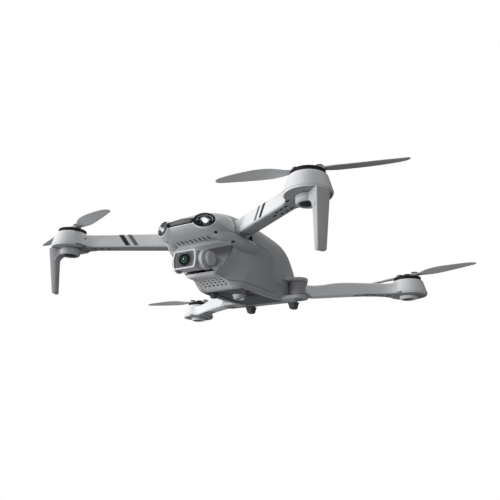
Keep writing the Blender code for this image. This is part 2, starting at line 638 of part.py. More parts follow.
def build_camera():
    half_x, half_z = CAMERA_HALF
    across = Matrix.Rotation(pi / 2.0, 4, "Y")
    forward = Matrix.Rotation(pi / 2.0, 4, "X")
    axis = (0.0, TILT_Y, TILT_Z)
    housing = make_object("camera_housing", front_prism(
        camera_outline(half_x - 0.6, half_z, 0.6), -70.2, -58.4), "shell_light", axis)
    cut(housing, make_object("cut_face_pocket", front_prism(
        camera_outline(half_x - 2.0, half_z - 1.3, 0.4), -75.0, -68.2)))
    for name, side in SIDES:
        cut(housing, make_object(f"cut_trunnion_{name}", cylinder(
            (side * half_x, TILT_Y, TILT_Z), 2.4, -2.6, 2.6, 12, across)))
    bezel = make_object("camera_bezel", front_prism(
        camera_outline(half_x, half_z + 0.3, 0.8), -71.8, -70.5), "shell_light", axis)
    cut(bezel, make_object("cut_bezel_window", front_prism(
        camera_outline(half_x - 1.4, half_z - 1.0, 0.8), -80.0, -60.0)))
    face = make_object("camera_face_plate", front_prism(
        camera_outline(half_x - 2.3, half_z - 1.6, 0.4), -70.9, -68.5), "face_grey", axis)
    lens = (0.0, TILT_Y, TILT_Z)
    cut(face, make_object("cut_face_lens", cylinder(lens, 4.6, 3.0, 12.0, 20, forward)))
    barrel = [(0.0, 5.0), (4.3, 5.0), (4.3, 8.4), (3.9, 8.9), (3.5, 8.9), (3.3, 7.0), (0.0, 7.0)]
    make_object("camera_lens_barrel", lathe(barrel, lens, 20, forward), "black_gloss", axis)
    glass = [(0.0, 7.3), (3.0, 7.3), (3.0, 7.9), (1.8, 8.5), (0.0, 8.72)]
    make_object("camera_lens_glass", lathe(glass, lens, 16, forward), "glass", axis)
    build_bracket(across)


def build_bracket(across):
    """Yoke that carries the camera: a back plate, two cheeks with stub axles, and the tilt drive."""
    axis = (0.0, TILT_Y, TILT_Z)
    bracket = make_object("camera_bracket", box((-12.6, -52.9, 14.2), (12.6, -51.4, 21.0)), "shell_light")
    for name, side in SIDES:
        near, far = side * 10.9, side * 12.6
        low, high = min(near, far), max(near, far)
        join(bracket, make_object(f"add_cheek_{name}", cylinder(axis, 7.0, low, high, 20, across)))
        join(bracket, make_object(f"add_cheek_arm_{name}", box(
            (low + 0.2, TILT_Y, 14.4), (high - 0.2, -51.6, 20.8))))
        stub_low, stub_high = min(side * 8.2, side * 11.6), max(side * 8.2, side * 11.6)
        join(bracket, make_object(f"add_stub_{name}", cylinder(axis, 2.0, stub_low, stub_high, 12, across)))
    cover = [(0.0, 12.9), (7.4, 12.9), (7.4, 15.2), (6.9, 15.7), (5.4, 15.7), (5.3, 18.6), (4.9, 19.0), (0.0, 19.0)]
    make_object("tilt_motor_cover", lathe(cover, axis, 24, across), "shell_light", axis)


# Belly, feet and inner parts ------------------------------------------------

def build_belly():
    half, front, rear, low, high = BELLY
    make_object("belly_heat_plate", box((-half, front, low), (half, rear, high)), "foot_dark")
    sensor = [(0.0, 0.9), (4.2, 0.9), (4.7, 1.4), (4.7, low - GAP), (0.0, low - GAP)]
    make_object("belly_sensor_lens", lathe(sensor, (0.0, -1.0, 0.0), 20), "black_gloss")
    for name, side in SIDES:
        x, y = FRONT_FOOT
        make_object(f"foot_front_{name}", tapered_box(
            (side * x, y), (side * x, y + 0.8), 0.4, low - GAP, (2.0, 2.0), (2.9, 3.0)), "foot_dark")
        x, y = REAR_FOOT
        make_object(f"foot_rear_{name}", tapered_box(
            (side * x, y), (side * (x - 0.4), y - 1.2), 0.0, 5.6, (2.3, 2.4), (3.3, 3.8)), "foot_dark")


def build_inner_parts():
    board = make_object("main_circuit_board", box((-16.0, -40.0, 20.0), (16.0, -8.0, 21.6)), "board")
    for x, y, half in ((-8.0, -30.0, 4.0), (7.0, -22.0, 5.0), (-6.0, -15.0, 3.0)):
        join(board, make_object(f"add_chip_{y:.0f}", box((x - half, y - half, 21.0), (x + half, y + half, 23.4))))
    make_object("gps_module", box((-8.0, -50.0, 48.0), (8.0, -34.0, 53.0)), "face_grey")
    button = [(0.0, 56.0), (5.8, 56.0), (5.8, 57.2), (4.5, 57.2), (4.5, 61.8), (4.1, 62.2), (0.0, 62.2)]
    make_object("power_button", lathe(button, (0.0, -24.0, 0.0)), "face_grey", (0.0, -24.0, 0.0))


def build_drone():
    clear_scene()
    build_hull()
    build_front_arms()
    build_rear_arms()
    build_camera()
    build_belly()
    build_inner_parts()


build_drone()
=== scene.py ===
"""Looks of the folding camera quadcopter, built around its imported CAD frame.

Shapes are drawn in millimetres in the row's own frame and scaled to metres by draft().
"""

import json
from math import atan2, cos, hypot, pi, radians, sin

import bmesh
import bpy
from mathutils import Matrix, Vector
from mathutils.bvhtree import BVHTree

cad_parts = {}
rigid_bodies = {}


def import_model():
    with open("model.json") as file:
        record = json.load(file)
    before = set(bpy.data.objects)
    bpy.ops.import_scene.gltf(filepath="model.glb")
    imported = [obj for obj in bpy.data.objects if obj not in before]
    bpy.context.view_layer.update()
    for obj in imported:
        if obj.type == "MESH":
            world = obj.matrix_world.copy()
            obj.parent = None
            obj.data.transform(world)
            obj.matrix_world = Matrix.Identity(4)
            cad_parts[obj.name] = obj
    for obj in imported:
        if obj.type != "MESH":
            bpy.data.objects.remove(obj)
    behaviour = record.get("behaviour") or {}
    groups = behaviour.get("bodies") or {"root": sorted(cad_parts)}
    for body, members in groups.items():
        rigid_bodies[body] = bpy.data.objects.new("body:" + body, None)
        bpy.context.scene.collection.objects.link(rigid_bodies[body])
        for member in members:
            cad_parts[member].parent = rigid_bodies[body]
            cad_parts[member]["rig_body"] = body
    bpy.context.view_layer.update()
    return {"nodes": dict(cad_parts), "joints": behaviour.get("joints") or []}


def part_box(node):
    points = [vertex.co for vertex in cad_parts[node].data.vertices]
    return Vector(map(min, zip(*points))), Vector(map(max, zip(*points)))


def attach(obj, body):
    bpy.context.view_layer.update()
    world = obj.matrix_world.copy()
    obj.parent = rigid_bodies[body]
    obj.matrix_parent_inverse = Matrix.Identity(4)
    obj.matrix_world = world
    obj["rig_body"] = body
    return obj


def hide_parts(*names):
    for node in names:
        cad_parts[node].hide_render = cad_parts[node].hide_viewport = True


MM = 0.001
SIDES = (("L", 1), ("R", -1))

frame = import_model()


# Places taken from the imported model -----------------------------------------

def box_mm(node):
    low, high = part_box(node)
    return low / MM, high / MM


def middle(node):
    low, high = box_mm(node)
    return (low + high) / 2.0


def above(point):
    return (point.x, point.y, 0.0)


def joint_axis_point(name):
    joint = next(j for j in frame["joints"] if j["name"] == name)
    return Vector(joint["pos_m"]) / MM


# Materials ------------------------------------------------------------------

def maths(operation):
    """Method that feeds a field and its partner to one maths node."""
    def method(field, other=0.0):
        return field.nodes.math(operation, field, other)
    return method


class Field:
    """A number that a material works out at every point; comparisons give 1 or 0."""

    __add__, __sub__, __mul__, __truediv__ = map(maths, ("ADD", "SUBTRACT", "MULTIPLY", "DIVIDE"))
    __pow__, __gt__, __lt__, __abs__ = map(maths, ("POWER", "GREATER_THAN", "LESS_THAN", "ABSOLUTE"))
    pingpong, larger, root = map(maths, ("PINGPONG", "MAXIMUM", "SQRT"))

    def __init__(self, nodes, socket):
        self.nodes, self.socket = nodes, socket

    def remap(self, low, high, out_low, out_high):
        node = self.nodes.add("ShaderNodeMapRange", Value=self, From_Min=low, From_Max=high, To_Min=out_low,
                              To_Max=out_high)
        return Field(self.nodes, node.outputs["Result"])


class Nodes:
    """Short way to add linked shader nodes to one material."""

    def __init__(self, name):
        self.material = bpy.data.materials.new(name)
        self.material.use_nodes = True
        self.tree = self.material.node_tree
        self.shader = self.tree.nodes["Principled BSDF"]
        self.coordinates = self.add("ShaderNodeTexCoord").outputs["Object"]

    def add(self, kind, **values):
        """New node; a value named like an input feeds that input, any other is a setting."""
        node = self.tree.nodes.new(kind)
        for key, value in values.items():
            if key.islower():
                setattr(node, key, value)
            else:
                self.feed(node, **{key: value})
        return node

    def feed(self, node, **values):
        for key, value in values.items():
            self.put(node.inputs[key.replace("_", " ")], value)
        return self.material

    def put(self, socket, value):
        """Feed one input from another node, or with a fixed number or colour."""
        value = getattr(value, "socket", value)
        if hasattr(value, "links"):
            self.tree.links.new(value, socket)
        else:
            socket.default_value = (*value, 1.0) if isinstance(value, tuple) else value

    def noise(self, scale, detail=3.0):
        node = self.add("ShaderNodeTexNoise", Scale=scale, Detail=detail, Roughness=0.55,
                        Vector=self.coordinates)
        return Field(self, node.outputs["Fac"])

    def math(self, operation, a, b):
        node = self.add("ShaderNodeMath", operation=operation)
        for socket, value in zip(node.inputs, (a, b)):
            self.put(socket, value)
        return Field(self, node.outputs[0])

    def mix(self, factor, a, b):
        node = self.add("ShaderNodeMix", data_type="RGBA")
        for index, value in ((0, factor), (6, a), (7, b)):
            self.put(node.inputs[index], value)
        return node.outputs[2]

    def axes(self):
        return [Field(self, s) for s in self.add("ShaderNodeSeparateXYZ", Vector=self.coordinates).outputs]

    def bevel(self, radius):
        return self.add("ShaderNodeBevel", samples=4, Radius=radius).outputs[0]

    def edges(self, radius):
        """1 on worn edges, 0 on flats, from how far a rounded normal leaves the real one."""
        dot = self.add("ShaderNodeVectorMath", operation="DOT_PRODUCT")
        self.put(dot.inputs[0], self.bevel(radius))
        self.put(dot.inputs[1], self.add("ShaderNodeNewGeometry").outputs["Normal"])
        return Field(self, dot.outputs["Value"]).remap(0.995, 0.8, 0.0, 1.0)

    def bump(self, height, strength, depth, soft=0.0):
        """Normal with a relief of depth millimetres, over edges rounded by soft metres."""
        node = self.add("ShaderNodeBump", Height=height, Strength=strength, Distance=depth * MM)
        if soft:
            self.feed(node, Normal=self.bevel(soft))
        return node.outputs[0]


def distance(dx, dy):
    return (dx ** 2.0 + dy ** 2.0).root()


def moulded(name, colour, roughness, *, grain=2600.0, depth=0.012, wear=0.35, coat=0.0, metallic=0.0,
            paint=None, soft=0.00035, streak=0.0):
    """Moulded or machined surface: fine grain, uneven gloss, slight mottling and lighter worn edges."""
    nodes = Nodes(name)

    def shade(share, lift=0.0, limit=1.0):
        return tuple(min(limit, c * share + lift) for c in colour)

    base = nodes.mix(nodes.noise(55.0, 4.0).remap(0.3, 0.7, 0.0, 1.0), shade(0.95), shade(1.035))
    if paint:
        base = paint(nodes, base)
    worn = nodes.edges(soft * 1.6) * nodes.noise(420.0).remap(0.35, 0.75, 0.0, wear)
    gloss = nodes.noise(160.0, 5.0).remap(0.3, 0.7, roughness - 0.05, roughness + 0.07)
    return nodes.feed(nodes.shader, Base_Color=nodes.mix(worn, base, shade(1.35, 0.035, 0.92)),
                      Roughness=gloss, Metallic=metallic, Anisotropic=streak, Coat_Weight=coat,
                      Coat_Roughness=0.08, Normal=nodes.bump(nodes.noise(grain, 2.0), 0.35, depth, soft))


LAMP_X, BAR_RISE = 18.9, 0.8
# The chin plate's holes: first y, steps along x and y; the nose's slots: step, half width, front, rear
CHIN_Y, CHIN_STEP_X, CHIN_STEP_Y = -45.6, 3.8, 3.1
SLOT_STEP, SLOT_HALF, SLOT_FRONT, SLOT_REAR = 4.05, 0.55, -64.5, -60.0
WHITE = (0.76, 0.77, 0.78)
UPPER = (0.56, 0.568, 0.58)
GREY = (0.50, 0.508, 0.52)
COVER = (0.31, 0.316, 0.328)
# Painted bands on a front arm: near edge, far edge and colour
BANDS = ((0.0385, 0.0424, (0.035, 0.036, 0.04)), (0.0319, 0.0354, (0.17, 0.172, 0.18)))
BAR_GREY = (0.14, 0.142, 0.148)
# Painted shade on the rear arms' hinge barrel
BARREL_SHADE = (0.26, 0.265, 0.275)
# Painted shade: the camera bay's wall, then the walls of the chin holes and of the nose slots
BAY_SHADE = (0.085, 0.087, 0.093)
HOLE_SHADE, SLOT_SHADE = (0.012, 0.012, 0.013), (0.015, 0.015, 0.016)
TRACE_GREEN = (0.01, 0.09, 0.035)
GLOW = (0.95, 0.97, 1.0)


def stripes(nodes, base):
    """Two slanted painted bands across the front arm's flanks and upper side."""
    x, y, z = nodes.axes()
    pivot = FRONT.pivot * MM
    along = (FRONT.rotor * MM - pivot).xy.normalized()
    reach = (abs(x) - pivot.x) * along.x + (y - pivot.y) * along.y
    slanted, above = reach - (z - 0.0367) * 0.72, z > 0.0372
    for low, high, colour in BANDS:
        base = nodes.mix((slanted > low) * (slanted < high) * above, base, colour)
    return base


def bar_paint(nodes, base):
    """Light bar: a satin grey strip between the lamps; the ends and the two long edges stay black."""
    x, _, z = nodes.axes()
    rise = abs(z - (middle("headlight_lens_L").z + BAR_RISE) * MM)
    strip = abs(x).remap(0.0085, 0.0105, 0.85, 0.0) * rise.remap(0.0012, 0.0017, 1.0, 0.0)
    return nodes.mix(strip, base, BAR_GREY)


def barrel_shade(nodes, base):
    """Rear arm: painted shade darkens the hinge barrel between the body's two plates."""
    x, y, _ = nodes.axes()
    pivot = REAR.pivot * MM
    reach = distance(abs(x) - pivot.x, y - pivot.y)
    return nodes.mix(reach.remap(0.0078, 0.0084, 0.85, 0.0), base, BARREL_SHADE)


def chin_hole_shade(nodes, base):
    """Painted shade: darkens the walls of the chin plate's round holes."""
    x, y, _ = nodes.axes()
    half_x, half_y = CHIN_STEP_X * MM / 2.0, CHIN_STEP_Y * MM / 2.0
    reach = distance(x.pingpong(half_x) - half_x, (y - CHIN_Y * MM).pingpong(half_y))
    middle_y = (CHIN_Y + 2.0 * CHIN_STEP_Y) * MM
    hole = (reach < 0.00088) * (abs(x) < 0.0106) * (abs(y - middle_y) < 0.0074)
    return nodes.mix(hole, base, HOLE_SHADE)


def slot_and_bay_shade(nodes, base):
    """Painted shade: darkens the walls of the slots under the nose and the wall of the camera bay, where
    shade falls.
    """
    x, y, z = nodes.axes()
    half, middle_y = SLOT_STEP * MM / 2.0, (SLOT_FRONT + SLOT_REAR) * MM / 2.0
    # Painted shade on the walls of the nose slots
    hole = ((x.pingpong(half) > 0.00145) * (abs(x) < 0.0150) * (abs(y - middle_y) < 0.0023)
            * (abs(z - 0.0324) < 0.0022))
    # Painted shade on the camera bay's wall, stronger higher up
    bay = (y < -0.0503) * (z < 0.0274) * z.remap(0.0138, 0.0230, 0.0, 0.85)
    return nodes.mix(hole, nodes.mix(bay, base, BAY_SHADE), SLOT_SHADE)


def board_paint(nodes, base):
    """Solder mask with a grid of darker traces."""
    x, y, _ = nodes.axes()
    lines = x.pingpong(0.0012).larger(y.pingpong(0.0016))
    return nodes.mix(lines.remap(0.0010, 0.0013, 0.0, 0.8), base, TRACE_GREEN)


def lamp_material(name):
    """Flecked white that glows evenly, for the bulbs."""
    nodes = Nodes(name)
    flecks = nodes.noise(900.0, 2.0).remap(0.35, 0.65, 0.75, 1.0)
    colour = nodes.mix(flecks, (0.55, 0.57, 0.60), GLOW)
    return nodes.feed(nodes.shader, Base_Color=colour, Emission_Color=colour, Emission_Strength=0.9,
                      Roughness=nodes.noise(300.0).remap(0.3, 0.7, 0.04, 0.12))


def clear_cover(name):
    """Clear lamp cover: faint grain, handling marks in its gloss and a glow over the bulb."""
    nodes = Nodes(name)
    x, _, z = nodes.axes()
    reach = distance((abs(x) - (LAMP_X + 1.0) * MM) / 1.35, z - middle("headlight_lens_L").z * MM)
    return nodes.feed(nodes.shader, Transmission_Weight=1.0, IOR=1.12, Emission_Color=GLOW,
                      Base_Color=nodes.mix(nodes.noise(400.0), (0.80, 0.82, 0.84), (0.90, 0.91, 0.92)),
                      Roughness=nodes.noise(260.0, 4.0).remap(0.35, 0.7, 0.02, 0.10),
                      Emission_Strength=reach.remap(0.0002, 0.0017, 1.1, 0.0),
                      Normal=nodes.bump(nodes.noise(1400.0), 0.2, 0.01))


def lens_glass(name):
    """Camera glass with painted reflections: green bands by distance from the optical axis."""
    nodes = Nodes(name)
    centre = middle("camera_lens_glass") * MM
    x, _, z = nodes.axes()
    reach = distance(x - centre.x, z - centre.z)
    # Painted reflection: green rings in the base colour stand in for the glass's reflections
    reflection_ramp = nodes.add("ShaderNodeValToRGB", Fac=reach.remap(0.0, 0.0030, 0.0, 1.0))
    bands = reflection_ramp.color_ramp.elements
    bands[0].color, bands[1].color = (0.16, 0.30, 0.24, 1.0), (0.003, 0.004, 0.004, 1.0)
    for position, colour in ((0.24, (0.012, 0.05, 0.04)), (0.42, (0.003, 0.008, 0.008)),
                             (0.62, (0.05, 0.14, 0.09)), (0.80, (0.02, 0.06, 0.045))):
        bands.new(position).color = (*colour, 1.0)
    return nodes.feed(nodes.shader, Base_Color=reflection_ramp.outputs["Color"], Coat_Weight=1.0, Coat_Roughness=0.02,
                      IOR=1.7, Roughness=nodes.noise(500.0).remap(0.3, 0.7, 0.02, 0.07))


# Mesh helpers ---------------------------------------------------------------

def link(obj):
    bpy.context.scene.collection.objects.link(obj)
    return obj


def smooth(mesh):
    mesh.shade_smooth()
    mesh.set_sharp_from_angle(angle=radians(32.0))


def draft(name, bm):
    """Turn a bmesh in millimetres into an object in metres."""
    bmesh.ops.recalc_face_normals(bm, faces=bm.faces)
    bmesh.ops.scale(bm, vec=(MM, MM, MM), verts=bm.verts)
    mesh = bpy.data.meshes.new(name)
    bm.to_mesh(mesh)
    bm.free()
    smooth(mesh)
    return link(bpy.data.objects.new(name, mesh))


def combine(target, operation, tools):
    """Boolean of the target with tools, bmeshes or objects, that are used up."""
    tools = [tool if isinstance(tool, bpy.types.Object) else draft("tool", tool) for tool in tools]
    for tool in tools:
        modifier = target.modifiers.new("shape", "BOOLEAN")
        modifier.operation = operation
        modifier.object = tool
        modifier.solver = "MANIFOLD"
    graph = bpy.context.evaluated_depsgraph_get()
    mesh = bpy.data.meshes.new_from_object(target.evaluated_get(graph))
    target.modifiers.clear()
    target.data = mesh
    smooth(mesh)
    if not mesh.polygons:
        raise ValueError(f"{target.name} came out empty")
    for tool in tools:
        bpy.data.objects.remove(tool, do_unlink=True)
    return target


def cut(target, *tools):
    return combine(target, "DIFFERENCE", tools)


def join(target, *tools):
    return combine(target, "UNION", tools)


def keep(target, *tools):
    return combine(target, "INTERSECT", tools)


def twin(obj):
    return link(bpy.data.objects.new("twin", obj.data.copy()))


def place(obj, look, body, *nodes, slot=None):
    """Give a finished piece its material, the body it moves with and the CAD nodes it stands for."""
    obj.data.materials.clear()
    obj.data.materials.append(LOOK[look])
    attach(obj, body)
    if nodes:
        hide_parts(*nodes)


def skin(rings):
    """Closed surface through rings of equal length."""
    bm = bmesh.new()
    rows = [[bm.verts.new(p) for p in ring] for ring in rings]
    count = len(rows[0])
    for near, far in zip(rows, rows[1:]):
        for i in range(count):
            j = (i + 1) % count
            bm.faces.new((near[i], near[j], far[j], far[i]))
    bmesh.ops.triangulate(bm, faces=bm.faces[:])
    bm.faces.new(rows[0])
    bm.faces.new(rows[-1])
    return bm


def rim(outline, soften):
    """Steps of a rounded rim: the outline drawn in, and how far along the prism it lies."""
    quarter = [radians(angle) for angle in (0, 30, 60, 90)]
    return [(grow(outline, -soften * (1.0 - sin(a))), soften * (1.0 - cos(a))) for a in quarter]


def upright(outline, low, high, soften=0.0):
    """Prism on an (x, y) outline; soften rounds its upper and lower rims."""
    if not soften:
        return skin([[(x, y, z) for x, y in outline] for z in (low, high)])
    rings = [[(x, y, low + rise) for x, y in inner] for inner, rise in rim(outline, soften)]
    return skin(rings + [[(x, y, low + high - z) for x, y, z in ring] for ring in reversed(rings)])


def sideways(outline, half):
    return skin([[(x, y, z) for y, z in outline] for x in (-half, half)])


def frontal(outline, near, far, soften=0.0):
    """Prism along Y on an (x, z) outline; soften rounds the rim at its near end."""
    if not soften:
        return skin([[(x, y, z) for x, z in outline] for y in (near, far)])
    rings = [[(x, near + rise, z) for x, z in inner] for inner, rise in rim(outline, soften)]
    return skin(rings + [[(x, far, z) for x, z in outline]])


def block(low, high):
    (x0, y0, z0), (x1, y1, z1) = low, high
    return upright([(x0, y0), (x1, y0), (x1, y1), (x0, y1)], z0, z1)


def circle(count):
    return [2.0 * pi * i / count for i in range(count)]


def moved(bm, centre, turn=Matrix()):
    bmesh.ops.transform(bm, matrix=Matrix.Translation(Vector(centre)) @ turn, verts=bm.verts)
    return bm


def spun(profile, centre=(0.0, 0.0, 0.0), turn=Matrix(), segments=64):
    """Revolve an open (radius, height) profile that starts and ends on the axis."""
    bm = bmesh.new()
    rows = []
    for radius, height in profile:
        angles = circle(segments) if radius > 0.0 else [0.0]
        rows.append([bm.verts.new((radius * cos(a), radius * sin(a), height)) for a in angles])
    for near, far in zip(rows, rows[1:]):
        for i in range(segments):
            j = (i + 1) % segments
            ring = [near[i % len(near)], near[j % len(near)], far[j % len(far)], far[i % len(far)]]
            corners = list(dict.fromkeys(ring))
            if len(corners) > 2:
                bm.faces.new(corners)
    return moved(bm, centre, turn)


def spun_ring(profile, centre, turn):
    """Revolve a closed (radius, height) profile that stays off the axis."""
    bm = bmesh.new()
    rows = [[bm.verts.new((r * cos(a), r * sin(a), h)) for r, h in profile] for a in circle(64)]
    for near, far in zip(rows, rows[1:] + rows[:1]):
        for i in range(len(profile)):
            j = (i + 1) % len(profile)
            bm.faces.new((near[i], near[j], far[j], far[i]))
    return moved(bm, centre, turn)


def rounded(profile, radius):
    """Round the inner corners of an open (radius, height) profile."""
    made = [profile[0]]
    for before, corner, after in zip(profile, profile[1:], profile[2:]):
        a, b, c = Vector(before), Vector(corner), Vector(after)
        reach = min(radius, (a - b).length * 0.45, (c - b).length * 0.45)
        start, end = b + (a - b).normalized() * reach, b + (c - b).normalized() * reach
        for t in (0.0, 1 / 3, 2 / 3, 1.0):
            made.append(tuple(start * (1 - t) ** 2 + b * 2 * t * (1 - t) + end * t * t))
    return made + [profile[-1]]


def rod(centre, radius, low, high, turn=Matrix(), segments=32):
    return spun([(0.0, low), (radius, low), (radius, high), (0.0, high)], centre, turn, segments)


def merged(parts):
    """One bmesh that holds several separate closed shapes."""
    whole = bmesh.new()
    for bm in parts:
        mesh = bpy.data.meshes.new("part")
        bm.to_mesh(mesh)
        bm.free()
        whole.from_mesh(mesh)
        bpy.data.meshes.remove(mesh)
    return whole


def smooth_curve(points, steps):
    """Catmull-Rom curve through tuples of any length."""
    ends = [points[0], *points, points[-1]]
    curve = []
    for span in zip(ends, ends[1:], ends[2:], ends[3:]):
        for t in [k / steps for k in range(steps)]:
            curve.append(tuple(0.5 * (2 * q + (r - p) * t + (2 * p - 5 * q + 4 * r - s) * t * t
                                      + (3 * q - p - 3 * r + s) * t ** 3) for p, q, r, s in zip(*span)))
    return curve + [tuple(points[-1])]


def grow(outline, amount):
    """Move a closed outline outward by amount, corner by corner."""
    area = sum(a[0] * b[1] - b[0] * a[1] for a, b in zip(outline, outline[1:] + outline[:1]))
    turn = 1.0 if area > 0 else -1.0
    grown = []
    for i, point in enumerate(outline):
        before, after = outline[i - 1], outline[(i + 1) % len(outline)]
        first = (Vector(point) - Vector(before)).normalized()
        second = (Vector(after) - Vector(point)).normalized()
        normal_a = Vector((first.y, -first.x)) * turn
        normal_b = Vector((second.y, -second.x)) * turn
        bisector = (normal_a + normal_b).normalized()
        reach = amount / max(0.4, bisector.dot(normal_a))
        grown.append((point[0] + bisector.x * reach, point[1] + bisector.y * reach))
    return grown


# Hull -----------------------------------------------------------------------

WALL = 1.8
GAP = 0.3
SEAM_Z, ARM_TOP = 36.0, 48.2
# y, then z of: underside, widest line, top; then half widths from underside to crown
HULL = (
    (-78.0, 40.2, 42.0, 44.2, 4.0, 6.0, 8.0, 9.0, 7.5, 4.0),
    (-76.4, 37.9, 41.6, 45.2, 8.0, 11.5, 14.2, 15.5, 13.5, 8.5),
    (-74.0, 36.2, 41.0, 46.6, 10.5, 15.5, 20.0, 21.5, 19.0, 12.0),
    (-71.0, 34.8, 40.4, 48.0, 12.0, 18.5, 24.4, 26.0, 23.0, 14.0),
    (-66.0, 33.2, 39.5, 50.6, 14.0, 21.0, 27.2, 29.0, 25.2, 15.2),
    (-60.0, 32.2, 38.0, 53.8, 15.0, 21.0, 27.5, 30.0, 26.0, 15.8),
    (-56.6, 30.2, 37.0, 55.7, 14.0, 19.4, 26.4, 30.3, 26.5, 16.2),
    (-54.4, 15.0, 36.5, 56.8, 12.0, 16.4, 25.6, 30.4, 26.6, 16.3),
    (-52.4, 9.2, 36.5, 57.7, 12.0, 15.8, 25.2, 30.4, 26.7, 16.4),
    (-50.6, 8.3, 37.2, 58.4, 12.2, 15.8, 25.2, 30.4, 26.9, 16.5),
    (-42.0, 8.0, 37.2, 60.6, 12.8, 17.0, 26.0, 30.3, 27.0, 16.5),
    (-38.0, 7.2, 37.2, 61.2, 13.6, 18.2, 26.5, 30.3, 27.0, 16.5),
    (-34.0, 5.8, 37.2, 61.6, 15.0, 19.6, 27.0, 30.2, 27.0, 16.5),
    (-30.0, 4.0, 37.2, 61.7, 16.8, 20.9, 27.5, 30.1, 27.0, 16.5),
    (-26.0, 3.1, 37.2, 61.8, 18.2, 21.9, 28.0, 30.0, 27.0, 16.5),
    (-8.0, 3.0, 37.2, 61.4, 20.0, 23.0, 28.4, 30.0, 26.8, 16.4),
    (12.0, 3.2, 37.2, 60.2, 20.6, 23.4, 28.0, 29.4, 26.0, 16.0),
    (26.0, 4.0, 37.2, 58.4, 21.2, 24.0, 27.2, 27.6, 24.6, 15.4),
    (38.0, 5.0, 35.0, 56.2, 21.8, 25.0, 26.4, 24.6, 22.0, 14.4),
    (47.0, 6.0, 34.0, 53.6, 22.6, 25.8, 25.4, 21.4, 19.2, 13.2),
    (52.0, 6.6, 31.0, 46.5, 22.8, 25.8, 24.8, 20.8, 18.6, 13.0),
    (56.0, 7.2, 26.0, 36.5, 22.0, 25.0, 24.0, 20.8, 18.6, 13.0),
    (58.0, 9.0, 24.0, 34.2, 20.0, 23.0, 22.4, 19.8, 17.6, 12.0),
)
SEAM = (
    (-57.6, 36.0), (-9.0, 36.0), (-4.5, 35.2), (-1.0, 33.0), (1.6, 29.8), (4.2, 25.4),
    (6.6, 21.0), (8.8, 17.6), (12.0, 15.2), (16.0, 14.2), (21.5, 14.0), (21.5, 22.4), (75.0, 22.4),
)
CAMERA_BAY = (
    (-100.0, 12.9), (-54.0, 12.9), (-51.6, 13.3), (-50.8, 14.2), (-50.6, 16.0), (-50.7, 20.0),
    (-51.4, 23.6), (-53.2, 27.0), (-55.2, 29.0), (-57.0, 29.9), (-100.0, 29.9),
)
LIGHT_ANGLE = 24.0


def hull_ring(row, inset, steps):
    y, z_low, z_wide, z_top = row[:4]
    widths = [w - inset for w in row[4:]]
    z_low += inset
    z_top -= inset
    rise, crown = z_wide - z_low, z_top - z_wide
    heights = (z_low, z_low + 0.12 * rise, z_low + 0.5 * rise, z_wide, z_wide + 0.45 * crown,
               z_wide + 0.8 * crown)
    half = smooth_curve(list(zip(widths, heights)) + [(0.0, z_top)], steps)
    return [(x, y, z) for x, z in half] + [(-x, y, z) for x, z in reversed(half[:-1])]


def hull(name, inset=0.0, rows=HULL, row_steps=3, ring_steps=6):
    dense = smooth_curve(rows, row_steps)
    return draft(name, skin([hull_ring(row, inset, ring_steps) for row in dense]))


def lamp_centre(side):
    return (side * LAMP_X, -74.4, middle("headlight_lens_L").z)


def light_bar_solid(swell, depth):
    """The light bar's room in the nose: a straight band and an oval boss at each end."""
    low, high = light_band()
    band = draft("add_band", block((-14.0, -90.0, low - swell), (14.0, -65.5 + swell, high + swell)))
    return band, [rod(lamp_centre(side), 5.0 + swell, -6.5 - swell, depth, lamp_frame(side), 80)
                  for _, side in SIDES]


def light_band():
    middle_z = lamp_centre(1)[2] + BAR_RISE
    return middle_z - 2.3, middle_z + 2.3


def arm_sweep(side):
    """Plan of the space that a front arm's root passes through between open and folded."""
    px, py = FRONT.pivot.x, FRONT.pivot.y
    radius = 7.6
    fold = FRONT.angle + radians(92.0)
    arc = [FRONT.angle - pi / 2.0 - (2.0 * pi - (fold - FRONT.angle) - pi) * i / 24 for i in range(25)]
    outline = [(px + radius * cos(a), py + radius * sin(a)) for a in arc]
    first, last = outline[0], outline[-1]
    outline.append((last[0] + 60.0 * cos(fold), last[1] + 60.0 * sin(fold)))
    outline.append((90.0, -10.0))
    outline.append((first[0] + 60.0 * cos(FRONT.angle), first[1] + 60.0 * sin(FRONT.angle)))
    return [(side * x, y) for x, y in outline]


def shoulder(side):
    """Rounded bulge under a front arm's root, from the cheek back to a domed end."""
    path = ((-69.0, 17.0, 37.2, 3.0, 2.0), (-64.0, 20.4, 36.4, 5.4, 3.4), (-58.0, 23.4, 35.0, 6.0, 4.3),
            (-52.0, 25.8, 33.3, 6.2, 5.0), (-46.0, 27.4, 31.8, 6.2, 5.2), (-36.0, 27.8, 31.6, 6.2, 5.2),
            (-30.0, 28.0, 31.6, 6.0, 5.0), (-27.4, 28.0, 31.6, 5.4, 4.5), (-26.4, 28.0, 31.6, 4.6, 3.8),
            (-26.0, 28.0, 31.6, 3.6, 3.0))
    rings = [[(side * (x + half_x * cos(a)), y, z + half_z * sin(a)) for a in circle(32)]
             for y, x, z, half_x, half_z in smooth_curve(path, 3)]
    return draft("add_shoulder", skin(rings))


def flange(side, front, rear, low, high):
    """Hinge plate: square to the flank, round about the rear pivot."""
    px, py = REAR.pivot.x, REAR.pivot.y
    arc = [radians(-90.0 + 180.0 * i / 28) for i in range(29)]
    outline = [(21.5, front), (px - 5.0, front)]
    outline += [(px + 8.0 * cos(a), py + 8.0 * sin(a)) for a in arc]
    outline += [(px - 5.0, rear), (21.5, rear)]
    return upright([(side * x, y) for x, y in outline], low, high, 0.6)


def facing(direction):
    return Vector(direction).to_track_quat("Z", "Y").to_matrix().to_4x4()


def screw_hole(point, direction, radius=1.25, depth=2.2):
    """Cutter for a counterbored screw hole."""
    wide = radius + 0.45
    profile = [(0.0, -depth), (radius, -depth), (radius, -0.2), (wide, 0.35), (wide, 2.0), (0.0, 2.0)]
    return spun(profile, point, facing(direction), 20)


